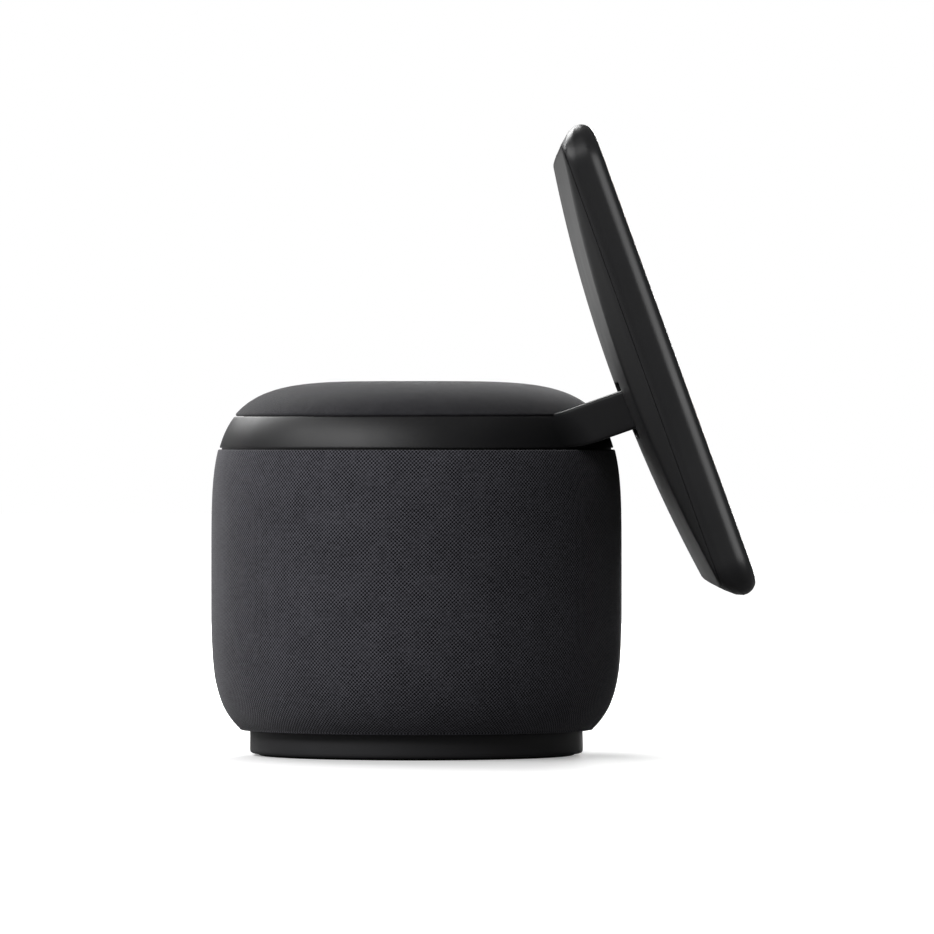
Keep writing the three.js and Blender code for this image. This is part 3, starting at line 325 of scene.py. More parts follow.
def smoothed(piece: Piece, crease: float = 32.0) -> Piece:
    """Shades a piece smooth, with sharp edges where faces meet at more than a number of degrees.

    Args:
        piece: the piece.
        crease: the number of degrees.

    Returns:
        The piece.
    """
    piece.data.shade_smooth()
    piece.data.set_sharp_from_angle(angle=math.radians(crease))
    return piece


# ---------------------------------------------------------------- shader nodes


class Bench:
    """Places shader nodes in a tree and joins them."""

    def __init__(self, tree: Tree) -> None:
        """Takes the tree to work in."""
        self.tree = tree

    def node(self, kind: str, feeds: Feeds | None = None, **settings: object) -> Node:
        """Adds a node.

        Args:
            kind: the node's type.
            feeds: a value or a socket for each of its inputs.
            settings: the node's own properties.

        Returns:
            The node.
        """
        made = self.tree.nodes.new(kind)
        for key, value in settings.items():
            setattr(made, key, value)
        self.feed(made, feeds or {})
        return made

    def feed(self, node: Node, feeds: Feeds) -> None:
        """Joins sockets to a node's inputs, or sets the inputs' values.

        Args:
            node: the node.
            feeds: a value or a socket for each of its inputs.
        """
        for key, value in feeds.items():
            socket = node.inputs[key]
            if isinstance(value, Socket):
                self.tree.links.new(value, socket)
            elif isinstance(value, tuple) and len(value) == 3 and len(socket.default_value) == 4:
                socket.default_value = (*value, 1.0)
            else:
                socket.default_value = value

    def group(self, tree: Tree, **feeds: object) -> Ports:
        """Adds a shared node group, and gives its outputs."""
        return self.node("ShaderNodeGroup", feeds, node_tree=tree).outputs

    def math(self, operation: str, *values: object) -> Socket:
        """A number worked out from others."""
        return self.node("ShaderNodeMath", dict(enumerate(values)), operation=operation).outputs[0]

    def total(self, first: object, second: object) -> Socket:
        """The sum of two numbers."""
        return self.math("ADD", first, second)

    def product(self, first: object, second: object) -> Socket:
        """The product of two numbers."""
        return self.math("MULTIPLY", first, second)

    def mix(self, share: object, first: object, second: object) -> Socket:
        """A colour between two others."""
        return self.node("ShaderNodeMix", {0: share, 6: first, 7: second}, data_type="RGBA").outputs[2]

    def between(self, value: object, low: float, high: float, to_low: float = 0.0, to_high: float = 1.0) -> Socket:
        """A number carried from one range to another, and held inside it."""
        feeds = {0: value, 1: low, 2: high, 3: to_low, 4: to_high}
        return self.node("ShaderNodeMapRange", feeds).outputs[0]

    def swing(self, value: object, reach: float = 1.0) -> Socket:
        """Soft random numbers spread out round zero."""
        return self.between(value, 0.3, 0.7, -reach, reach)

    def noise(self, place: object, scale: float, detail: float = 2.0, roughness: float = 0.5) -> Socket:
        """Soft random numbers from 0 to 1."""
        feeds = {"Vector": place, "Scale": scale, "Detail": detail, "Roughness": roughness}
        return self.node("ShaderNodeTexNoise", feeds).outputs[0]

    def stretched(self, place: object, scale: Point) -> Socket:
        """A vector with each axis scaled on its own."""
        return self.node("ShaderNodeMapping", {"Vector": place, "Scale": scale}).outputs[0]

    def split(self, place: object) -> Ports:
        """The three numbers of a vector."""
        return self.node("ShaderNodeSeparateXYZ", {0: place}).outputs

    def pattern(self) -> Socket:
        """The texture places that the meshes carry."""
        return self.node("ShaderNodeUVMap", uv_map=PATTERN).outputs[0]


def new_group(name: str, inputs: dict[str, float | Color | None], outputs: Sequence[str]) -> Group:
    """Makes a node group with named sockets, whose kinds follow from their names and first values.

    Args:
        name: the group's name.
        inputs: the first value of each input, or None for a place.
        outputs: the name of each output.

    Returns:
        A bench on the group, what comes in, and the node that takes what goes out.
    """
    tree = bpy.data.node_groups.new(name, "ShaderNodeTree")
    for title, value in inputs.items():
        kind = "Vector" if value is None else "Color" if isinstance(value, tuple) else "Float"
        socket = tree.interface.new_socket(title, in_out="INPUT", socket_type=f"NodeSocket{kind}")
        if value is not None:
            socket.default_value = (*value, 1.0) if isinstance(value, tuple) else value
    for title in outputs:
        kind = "Color" if title == "Color" else "Float"
        tree.interface.new_socket(title, in_out="OUTPUT", socket_type=f"NodeSocket{kind}")
    bench = Bench(tree)
    return bench, bench.node("NodeGroupInput").outputs, bench.node("NodeGroupOutput")


class Effects:
    """The node groups that several materials share, each built once."""

    def __init__(self) -> None:
        """Builds every group."""
        self.knit = self._knit()
        self.grain = self._grain()
        self.wear = self._wear()
        self.dust = self._dust()
        self.brushed = self._brushed()

    def _knit(self) -> Tree:
        """Cloth of two yarns: a net of small cells, heathered, its height for a bump.

        Returns:
            The node group.
        """
        inputs = {"Place": None, "Dark": BLACK, "Light": (0.08, 0.08, 0.09), "Contrast": 0.5, "Heather": 0.4}
        bench, source, target = new_group("knit_weave", inputs, ("Color", "Height", "Roughness"))
        place = source["Place"]
        waves = [bench.math("SINE", bench.product(way, 2 * math.pi)) for way in bench.split(place)[:2]]
        cells = bench.between(bench.product(*waves), -0.45, 0.45, -1.0, 1.0)
        slub = bench.noise(bench.stretched(place, (0.45, 0.9, 1.0)), 1.0, 3.0, 0.7)
        fleck = bench.total(bench.swing(slub), bench.swing(bench.noise(place, 0.11), 0.5))
        patch = bench.between(bench.noise(place, 0.23, 2.0, 0.6), 0.35, 0.65, 0.5, 1.0)
        tone = bench.product(cells, bench.product(source["Contrast"], patch))
        share = bench.between(bench.total(bench.product(fleck, source["Heather"]), tone), -1.0, 1.0)
        color = bench.mix(share, source["Dark"], source["Light"])
        lift = bench.total(bench.product(cells, 0.5), bench.product(slub, 0.3))
        rough = bench.between(share, 0.0, 1.0, 0.86, 0.97)
        bench.feed(target, {"Color": color, "Height": lift, "Roughness": rough})
        return bench.tree

    def _grain(self) -> Tree:
        """The fine spark-eroded grain of moulded plastic.

        Returns:
            The node group.
        """
        inputs = {"Place": None, "Base": 0.4, "Spread": 0.06}
        bench, source, target = new_group("moulded_grain", inputs, ("Height", "Roughness"))
        place = source["Place"]
        fine, coarse = bench.noise(place, 2600.0, 2.0, 0.6), bench.noise(place, 900.0, 1.0)
        height = bench.total(bench.product(fine, 0.6), bench.product(coarse, 0.4))
        smear = bench.swing(bench.noise(place, 34.0, 4.0, 0.6))
        rough = bench.total(source["Base"], bench.product(smear, source["Spread"]))
        bench.feed(target, {"Height": height, "Roughness": rough})
        return bench.tree

    def _wear(self) -> Tree:
        """Paler colour where hands have rubbed the edges.

        Returns:
            The node group.
        """
        inputs = {"Place": None, "Color": BLACK, "Worn": (0.06, 0.06, 0.06), "Amount": 0.4}
        bench, source, target = new_group("edge_wear", inputs, ("Color", "Mask"))
        edge = bench.between(bench.node("ShaderNodeNewGeometry").outputs["Pointiness"], 0.505, 0.56)
        patchy = bench.between(bench.noise(source["Place"], 120.0, 4.0, 0.7), 0.4, 0.62)
        mask = bench.product(bench.product(edge, patchy), source["Amount"])
        bench.feed(target, {"Color": bench.mix(mask, source["Color"], source["Worn"]), "Mask": mask})
        return bench.tree

    def _dust(self) -> Tree:
        """A trace of dust on what faces up.

        Returns:
            The node group.
        """
        inputs = {"Place": None, "Color": BLACK, "Amount": 0.1}
        bench, source, target = new_group("settled_dust", inputs, ("Color", "Mask"))
        up = bench.between(bench.split(bench.node("ShaderNodeNewGeometry").outputs["Normal"])[2], 0.35, 0.95)
        speck = bench.between(bench.noise(source["Place"], 700.0, 3.0, 0.8), 0.5, 0.72)
        film = bench.noise(source["Place"], 26.0, 3.0, 0.6)
        mask = bench.product(bench.product(up, bench.total(speck, film)), source["Amount"])
        bench.feed(target, {"Color": bench.mix(mask, source["Color"], DUST), "Mask": mask})
        return bench.tree

    def _brushed(self) -> Tree:
        """Metal drawn or turned in one direction.

        Returns:
            The node group.
        """
        inputs = {"Place": None, "Base": 0.35, "Spread": 0.12}
        bench, source, target = new_group("brushed_metal", inputs, ("Height", "Roughness"))
        place = source["Place"]
        lines = bench.noise(bench.stretched(place, (60.0, 2200.0, 2200.0)), 1.0, 3.0, 0.6)
        both = bench.total(bench.swing(lines), bench.swing(bench.noise(place, 60.0, 3.0, 0.6)))
        rough = bench.total(source["Base"], bench.product(both, source["Spread"]))
        bench.feed(target, {"Height": lines, "Roughness": rough})
        return bench.tree


@dataclass(frozen=True)
class Finish:
    """What a surface is made of. Its subclasses say how its nodes are laid out."""

    name: str
    color: Color
    roughness: float

    def material(self, effects: Effects) -> bpy.types.Material:
        """Makes the material, once.

        Args:
            effects: the shared node groups.

        Returns:
            The material.
        """
        found = bpy.data.materials.get(self.name)
        if found:
            return found
        made = bpy.data.materials.new(self.name)
        made.use_nodes = True
        made.diffuse_color = (*self.color, 1.0)
        made.node_tree.nodes.clear()
        bench = Bench(made.node_tree)
        shader = bench.node("ShaderNodeBsdfPrincipled", {"Roughness": self.roughness})
        bench.node("ShaderNodeOutputMaterial", {"Surface": shader.outputs[0]})
        place = bench.node("ShaderNodeTexCoord").outputs["Object"]
        bench.feed(shader, self.lay(bench, place, effects))
        return made

    def lay(self, bench: Bench, place: Socket, effects: Effects) -> Feeds:
        """Lays the finish's own nodes.

        Args:
            bench: where the nodes go.
            place: the surface's own coordinates, in metres.
            effects: the shared node groups.

        Returns:
            What the shader's inputs take.
        """
        raise NotImplementedError

    @staticmethod
    def bump(bench: Bench, height: Socket, strength: float, depth: float) -> Socket:
        """The normal that a height gives.

        Args:
            bench: where the node goes.
            height: the height, about 0 to 1.
            strength: how much of it counts.
            depth: the height's full range, in millimetres.

        Returns:
            The normal.
        """
        feeds = {"Height": height, "Strength": strength, "Distance": depth * MM}
        return bench.node("ShaderNodeBump", feeds).outputs[0]


@dataclass(frozen=True)
class Knit(Finish):
    """Knitted speaker cloth; its pattern follows the cloth's own unrolled shape."""

    dark: Color = (0.012, 0.012, 0.016)
    pitch: float = 1.0
    contrast: float = 0.55
    heather: float = 0.3
    depth: float = 0.25
    sheen: float = 0.25
    dust: float = 0.03

    def lay(self, bench: Bench, place: Socket, effects: Effects) -> Feeds:
        """Lays the yarns, the dust on them and their relief.

        Args:
            bench: where the nodes go.
            place: the surface's own coordinates, in metres.
            effects: the shared node groups.

        Returns:
            What the shader's inputs take.
        """
        cells = bench.stretched(bench.pattern(), (1 / self.pitch,) * 3)
        yarns = {"Dark": self.dark, "Light": self.color, "Contrast": self.contrast, "Heather": self.heather}
        yarn = bench.group(effects.knit, Place=cells, **yarns)
        return {
            "Base Color": bench.group(effects.dust, Place=place, Color=yarn["Color"], Amount=self.dust)["Color"],
            "Roughness": yarn["Roughness"],
            "Sheen Weight": self.sheen,
            "Sheen Roughness": 0.45,
            "Specular IOR Level": 0.2,
            "Normal": self.bump(bench, yarn["Height"], 0.6, self.depth),
        }


@dataclass(frozen=True)
class Moulded(Finish):
    """Moulded plastic or rubber with a fine grain, rubbed edges and a little dust."""

    worn: Color = (0.06, 0.06, 0.062)
    wear: float = 0.25
    dust: float = 0.05
    spread: float = 0.05
    depth: float = 0.02

    def lay(self, bench: Bench, place: Socket, effects: Effects) -> Feeds:
        """Lays the colour with its wear and dust, and the grain.

        Args:
            bench: where the nodes go.
            place: the surface's own coordinates, in metres.
            effects: the shared node groups.

        Returns:
            What the shader's inputs take.
        """
        tint = bench.between(bench.noise(place, 55.0, 3.0, 0.6), 0.3, 0.7, 0.94, 1.06)
        color = bench.node("ShaderNodeVectorMath", {0: self.color, "Scale": tint}, operation="SCALE").outputs[0]
        wear = bench.group(effects.wear, Place=place, Color=color, Worn=self.worn, Amount=self.wear)
        dust = bench.group(effects.dust, Place=place, Color=wear["Color"], Amount=self.dust)
        grain = bench.group(effects.grain, Place=place, Base=self.roughness, Spread=self.spread)
        return {
            "Base Color": dust["Color"],
            "Roughness": bench.total(grain["Roughness"], bench.product(dust["Mask"], 0.6)),
            "Normal": self.bump(bench, grain["Height"], 0.5, self.depth),
        }


@dataclass(frozen=True)
class Metal(Finish):
    """Bare metal with drawn lines and stains."""

    spread: float = 0.1
    depth: float = 0.01

    def lay(self, bench: Bench, place: Socket, effects: Effects) -> Feeds:
        """Lays the metal's colour, its lines and its stains.

        Args:
            bench: where the nodes go.
            place: the surface's own coordinates, in metres.
            effects: the shared node groups.

        Returns:
            What the shader's inputs take.
        """
        stain = bench.between(bench.noise(place, 70.0, 4.0, 0.6), 0.35, 0.75)
        dull = tuple(0.8 * share for share in self.color)
        lines = bench.group(effects.brushed, Place=place, Base=self.roughness, Spread=self.spread)
        return {
            "Base Color": bench.mix(stain, self.color, dull),
            "Roughness": lines["Roughness"],
            "Metallic": 1.0,
            "Normal": self.bump(bench, lines["Height"], 0.3, self.depth),
        }


@dataclass(frozen=True)
class Printed(Finish):
    """A circuit board: solder mask over tracks, with dull tinned pads."""

    track: Color = (0.035, 0.16, 0.085)
    pad: Color = (0.45, 0.46, 0.44)

    def lay(self, bench: Bench, place: Socket, effects: Effects) -> Feeds:
        """Lays the mask, the tracks and the pads.

        Args:
            bench: where the nodes go.
            place: the surface's own coordinates, in metres.
            effects: the shared node groups.

        Returns:
            What the shader's inputs take.
        """
        cells = bench.node("ShaderNodeTexVoronoi", {"Vector": place, "Scale": 260.0}, feature="DISTANCE_TO_EDGE")
        dots = bench.node("ShaderNodeTexVoronoi", {"Vector": place, "Scale": 420.0})
        line = bench.between(cells.outputs["Distance"], 0.03, 0.06, 1.0, 0.0)
        spot = bench.between(dots.outputs["Distance"], 0.12, 0.16, 1.0, 0.0)
        return {
            "Base Color": bench.mix(spot, bench.mix(line, self.color, self.track), self.pad),
            "Metallic": bench.product(spot, 0.8),
            "Roughness": bench.between(spot, 0.0, 1.0, self.roughness, 0.3),
            "Normal": self.bump(bench, bench.total(line, spot), 0.4, 0.03),
        }


@dataclass(frozen=True)
class Fibre(Finish):
    """Pressed paper or doped cloth."""

    depth: float = 0.06

    def lay(self, bench: Bench, place: Socket, effects: Effects) -> Feeds:
        """Lays matted fibres.

        Args:
            bench: where the nodes go.
            place: the surface's own coordinates, in metres.
            effects: the shared node groups.

        Returns:
            What the shader's inputs take.
        """
        fibres = bench.noise(bench.stretched(place, (400.0, 900.0, 400.0)), 1.0, 4.0, 0.7)
        pale = tuple(min(1.0, 2.2 * share) for share in self.color)
        return {
            "Base Color": bench.mix(bench.between(fibres, 0.3, 0.7), self.color, pale),
            "Roughness": bench.between(fibres, 0.3, 0.7, self.roughness, self.roughness + 0.1),
            "Normal": self.bump(bench, fibres, 0.6, self.depth),
        }


@dataclass(frozen=True)
class Gloss(Finish):
    """Black-backed glass with the lit area a shade apart from its border, and faint finger marks."""

    area: Flat = (110.0, 70.0)
    middle: float = 13.0
    lit: Color = (0.008, 0.008, 0.01)
    marks: float = 0.03

    def lay(self, bench: Bench, place: Socket, effects: Effects) -> Feeds:
        """Lays the black backing, the picture area and the marks.

        Args:
            bench: where the nodes go.
            place: the surface's own coordinates, in metres.
            effects: the shared node groups.

        Returns:
            What the shader's inputs take.
        """
        x, y, _ = bench.split(bench.pattern())
        offsets = (bench.math("ABSOLUTE", x), bench.math("ABSOLUTE", bench.math("SUBTRACT", y, self.middle)))
        inside = bench.product(*(bench.math("LESS_THAN", *pair) for pair in zip(offsets, self.area, strict=True)))
        smear = bench.between(bench.noise(place, 38.0, 5.0, 0.65), 0.5, 0.75, 0.0, self.marks)
        return {
            "Base Color": bench.mix(inside, self.color, self.lit),
            "Roughness": bench.total(self.roughness, smear),
            "IOR": 1.5,
        }


@dataclass(frozen=True)
class Clear(Finish):
    """Clear glass."""

    def lay(self, bench: Bench, place: Socket, effects: Effects) -> Feeds:
        """Lays clear glass with faint marks.

        Args:
            bench: where the nodes go.
            place: the surface's own coordinates, in metres.
            effects: the shared node groups.

        Returns:
            What the shader's inputs take.
        """
        marks = bench.between(bench.noise(place, 400.0, 3.0, 0.6), 0.5, 0.8, 0.0, 0.03)
        rough = bench.total(self.roughness, marks)
        return {"Base Color": self.color, "Roughness": rough, "Transmission Weight": 1.0, "IOR": 1.5}


SLEEVE_KNIT = Knit("sleeve_knit", (0.16, 0.157, 0.183), 0.95, dark=(0.002, 0.002, 0.004), contrast=1.2, heather=0.25)
CAP_KNIT = Knit("cap_knit", (0.07, 0.069, 0.076), 0.9, pitch=0.8, contrast=0.25, depth=0.12)
SPIDER_KNIT = Fibre("spider_cloth", (0.3, 0.16, 0.07), 0.85)
DOME_CLOTH = Fibre("dome_silk", (0.02, 0.02, 0.022), 0.7, 0.02)
SATIN = Moulded("satin_body", (0.019, 0.019, 0.0205), 0.44)
PLINTH_SATIN = Moulded("satin_plinth", (0.042, 0.042, 0.045), 0.5)
# The body's satin at about half its colour: painted shade on the screen's back and frame
SHADED_SCREEN_SATIN = Moulded("satin_screen_painted_shade", (0.011, 0.011, 0.012), 0.38, spread=0.03)
BUTTON_SATIN = Moulded("satin_button", (0.016, 0.016, 0.017), 0.42, wear=0.4)
INNER = Moulded("inner_plastic", (0.025, 0.025, 0.027), 0.62, dust=0.1)
RUBBER = Moulded("foot_rubber", (0.014, 0.014, 0.014), 0.82, (0.03, 0.03, 0.03), 0.4, 0.15, 0.06, 0.06)
SURROUND = Moulded("surround_rubber", (0.01, 0.01, 0.01), 0.6, (0.02, 0.02, 0.02), 0.1, 0.08)
STEEL = Metal("plain_steel", (0.55, 0.56, 0.58), 0.32)
ALUMINIUM = Metal("cast_aluminium", (0.68, 0.7, 0.72), 0.42, 0.08, 0.04)
FERRITE = Fibre("sintered_ferrite", (0.03, 0.029, 0.028), 0.6)
CONE = Fibre("moulded_cone", (0.01, 0.01, 0.01), 0.8, 0.1)
BOARD = Printed("circuit_board", (0.02, 0.1, 0.05), 0.42)
ACETAL = Moulded("natural_acetal", (0.7, 0.68, 0.62), 0.45, (0.8, 0.79, 0.75), 0.2)
CABLE = Moulded("cable_jacket", (0.012, 0.012, 0.012), 0.55, wear=0.1)
GLASS = Gloss("cover_glass", (0.0035, 0.0035, 0.004), 0.035)
PANEL = Gloss("switched_off_panel", (0.006, 0.006, 0.008), 0.12)
WINDOW = Clear("camera_window_glass", (0.9, 0.92, 0.95), 0.0)
LENS = Gloss("camera_lens_coating", (0.01, 0.008, 0.03), 0.02)

CARRIED: tuple[tuple[Finish, tuple[str, ...]], ...] = (
    (SATIN, ("woofer_frame", "tweeter_frame", "shutter_blade")),
    (BUTTON_SATIN, ("power_jack", "camera_module")),
    (INNER, ("base_pan", "speaker_housing", "top_cap")),
    (SURROUND, ("woofer_surround",)),
    (SPIDER_KNIT, ("woofer_spider",)),
    (DOME_CLOTH, ("tweeter_dome",)),
    (CONE, ("woofer_cone",)),
    (FERRITE, ("woofer_magnet",)),
    (STEEL, ("ballast_plate", "magnet_yoke", "deck_screw", "bearing", "swivel_motor", "motor_pinion")),
    (STEEL, ("hub_retainer", "ring_screw", "hinge_pin", "hinge_bracket")),
    (ALUMINIUM, ("heat_sink", "top_deck", "turntable", "arm_core", "display_chassis")),
    (BOARD, ("main_board", "display_board", "microphone_board", "button_board")),
    (ACETAL, ("glide_ring", "idler_gear", "ring_gear")),
    (CABLE, ("base_cable", "arm_cable")),
    (PANEL, ("lcd_panel",)),
    (LENS, ("camera_lens",)),
)


@dataclass
class Workshop:
    """Gives pieces their finish, their body and the CAD nodes that they stand for."""

    effects: Effects

    def paint(self, piece: Piece, finish: Finish) -> None:
        """Puts a finish on a piece."""
        piece.data.materials.clear()
        piece.data.materials.append(finish.material(self.effects))

    def dress(self, piece: Piece, finish: Finish, body: Body, slot: Slot, *nodes: str) -> Piece:
        """Finishes a new piece and puts it on its body.

        Args:
            piece: the new piece, in place.
            finish: what it is made of.
            body: the body that it moves with.
            slot: the record's slot for its finish; not used.
            nodes: the CAD nodes that it stands for.

        Returns:
            The piece.
        """
        self.paint(piece, finish)
        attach(piece, body.value)
        if nodes:
            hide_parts(*nodes)
        LOG.info("%s: %d faces, on %s", piece.name, len(piece.data.polygons), body.value)
        return piece

    def dress_carried(self, nodes: dict[str, Piece]) -> None:
        """Gives each CAD node that is still shown the finish that its name calls for.

        Args:
            nodes: the CAD nodes by name.
        """
        finishes = {kind: finish for finish, kinds in CARRIED for kind in kinds}
        for name, node in sorted(nodes.items()):
            if node.hide_render:
                continue
            finish = next(finishes[kind] for kind in finishes if name.startswith(kind))
            self.paint(node, finish)
            LOG.info("%s: carried over in %s", name, finish.name)


# ---------------------------------------------------------------- the barrel


def span(node: str) -> tuple[Vector, Vector]:
    """The lowest and highest corner of a CAD node, in millimetres."""
    low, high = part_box(node)
    return low / MM, high / MM


@dataclass(frozen=True)
class Barrel:
    """The outline that the sleeve, the ring and the cap share."""

    radius: float = 74.8
    waist: float = 65.4
    rise: float = 70.9
    drop: float = 65.2
    squareness: float = 4.5

    @property
    def crown(self) -> float:
        """The height of the top of the dome."""
        return self.waist + self.rise

    def reach(self, z: float) -> float:
        """The radius at a height."""
        share = min(1.0, abs(z - self.waist) / (self.rise if z > self.waist else self.drop))
        return self.radius * (1 - share**self.squareness) ** (1 / self.squareness)

    def levels(self, bottom: float, top: float, count: int) -> list[float]:
        """Heights from bottom to top, closer together where the outline curves.

        Args:
            bottom: the first height.
            top: the last height.
            count: the steps between them.

        Returns:
            The heights.
        """

        def turn(z: float) -> float:
            """The angle that stands for a height.

            Args:
                z: the height.

            Returns:
                The angle, in radians.
            """
            share = (z - self.waist) / (self.rise if z > self.waist else self.drop)
            bent = math.copysign(abs(max(-1.0, min(1.0, share))) ** (self.squareness / 2), share)
            return math.asin(bent)

        def height(angle: float) -> float:
            """The height that an angle stands for.

            Args:
                angle: the angle, in radians.

            Returns:
                The height.
            """
            bent = math.sin(angle)
            size = self.rise if bent > 0 else self.drop
            return self.waist + math.copysign(size * abs(bent) ** (2 / self.squareness), bent)

        first, last = turn(bottom), turn(top)
        made = [height(first + (last - first) * i / count) for i in range(count + 1)]
        made[0], made[-1] = bottom, top
        return made

    def outward(self, z: float) -> Flat:
        """The direction out of the surface at a height, as a radius step and a height step.

        Args:
            z: the height.

        Returns:
            The two steps, of length one together.
        """
        step = 0.02
        low, high = max(z - step, 0.3), min(z + step, self.crown)
        run, rise = self.reach(high) - self.reach(low), high - low
        size = math.hypot(run, rise)
        return rise / size, -run / size


def lengths(outline: Sequence[Flat]) -> list[float]:
    """The distance along an outline at each of its points.

    Args:
        outline: the points.

    Returns:
        The distances, from zero.
    """
    made = [0.0]
    for before, after in zip(outline, outline[1:]):
        made.append(made[-1] + math.dist(before, after))
    return made


# ---------------------------------------------------------------- the base


@dataclass
class SpeakerBase:
    """The fixed base: its cloth sleeve, foot and power socket trim."""

    workshop: Workshop
    barrel: Barrel
    cloth: float = 1.2  # thickness of the cloth
    stitches: int = 344  # cells of the knit round the barrel
    turns: int = 240  # steps in a full turn
    lip: float = 8.2
    bore: float = 5.2
    tube: float = 6.7
    lip_thickness: float = 1.2
    proud: float = 0.05
    hole: float = 0.25  # how much wider than the collar the cloth is cut
    stretch: float = 0.985  # the cloth's own size over its size on the barrel
    turn_in: float = 4.0  # cloth turned under at each edge
    plinth_wall: float = 2.5
    plinth_floor: Flat = (2.8, 5.2)

    def build(self) -> None:
        """Builds and dresses every piece of the base that shows."""
        self.sleeve()
        self.foot()
        self.socket_trim()

    def sleeve(self) -> Piece:
        """The knitted sleeve, its two edges rolled, with a hole round the socket trim.

        Returns:
            The sleeve.
        """
        low, high = span("fabric_sleeve")
        bottom, top = low.z, high.z
        half = self.cloth / 2
        heights = self.barrel.levels(bottom + half, top - half, 60)
        outer = [(self.barrel.reach(z), z) for z in heights]
        roll = [math.pi * i / 6 for i in range(1, 6)]
        head = [(outer[-1][0] - half + half * math.cos(a), heights[-1] + half * math.sin(a)) for a in roll]
        inner = [(self.barrel.reach(z) - self.cloth, z) for z in reversed(heights)]
        foot = [(outer[0][0] - half - half * math.cos(a), heights[0] - half * math.sin(a)) for a in roll]
        outline = outer + head + inner + foot
        along = lengths([*outline, outline[0]])
        cell = 2 * math.pi * self.barrel.radius / self.stitches

        def place(ring: int, step: int) -> Flat:
            """Cells round the barrel and along the outline, in millimetres of cloth."""
            return (step / self.turns * self.stitches * SLEEVE_KNIT.pitch, along[ring] / cell * SLEEVE_KNIT.pitch)

        piece = turned(outline, self.turns, place).built("sleeve_cloth")
        z = span("jack_bezel")[0].z + self.lip
        near, far = 40.0, 90.0
        rim = [(self.lip + self.hole, near), (self.lip + self.hole, far)]
        hole = turned([(0, near), *rim, (0, far)], 64)
        turn = Matrix.Translation((0, 0, z)) @ Matrix.Rotation(-math.pi / 2, 4, "X")
        carve(piece, hole.built("hole", turn), Carve.TAKE)
        self.workshop.dress(smoothed(piece), SLEEVE_KNIT, Body.BASE, Slot.KNIT, "fabric_sleeve")
        return piece

    def foot(self) -> None:
        """The satin plinth and the rubber pad under it."""
        low, high = span("foot_plinth")
        pad_high = span("rubber_foot")[1]
        radius, pad = high.x, pad_high.x
        floor, ceiling = self.plinth_floor
        inner = radius - self.plinth_wall
        outline = softened(
            [
                (pad + 0.3, floor, 0.2),
                (pad + 0.3, low.z, 0.2),
                (radius, low.z, 1.5),
                (radius, high.z, 0.5),
                (inner, high.z, 0.4),
                (inner, ceiling, 0.6),
            ],
            closed=False,
        )
        plinth = turned([(0, floor), *outline, (0, ceiling)], 192).built("plinth_ring")
        self.workshop.dress(smoothed(plinth), PLINTH_SATIN, Body.BASE, Slot.SATIN, "foot_plinth")
        groove = ((0.0, 0.0, 0.3), (0.4, 0.8, 0.2), (1.6, 0.8, 0.2), (2.0, 0.0, 0.3))
        grooves = [(pad * at + out, up, reach) for at in (0.55, 0.8) for out, up, reach in groove]
        edge = [(pad - 0.1, 0.0, 0.9), (pad, pad_high.z, 0.3)]
        under = softened([(0, 0, 0), *grooves, *edge, (0, pad_high.z, 0)], 3, closed=False)
        rubber = turned(under, 160).built("foot_pad")
        self.workshop.dress(smoothed(rubber), RUBBER, Body.BASE, Slot.RUBBER, "rubber_foot")

    def socket_trim(self) -> None:
        """The collar round the power socket, its lip following the barrel."""
        low, high = span("jack_bezel")
        axis, back = (low.z + high.z) / 2, low.y
        section = softened(
            [
                (self.bore, -1.0, 0.0),
                (self.bore, 0.0, 0.4),
                (self.lip, 0.0, 0.4),
                (self.lip, self.lip_thickness, 0.1),
                (self.tube, self.lip_thickness, 0.1),
                (self.tube, -1.0, 0.0),
            ]
        )
        rings, steps = [], 96
        for radius, under in section:
            ring = []
            for j in range(steps):
                a = 2 * math.pi * j / steps
                x, z = radius * math.cos(a), axis + radius * math.sin(a)
                face = math.sqrt(self.barrel.reach(z) ** 2 - x * x) + self.proud
                ring.append((x, back if under < 0 else face - under, z))
            rings.append(ring)
        form = Form()
        form.skin(rings, closed=True)
        self.workshop.dress(smoothed(form.built("socket_trim")), SATIN, Body.BASE, Slot.SATIN, "jack_bezel")


# ---------------------------------------------------------------- the turret


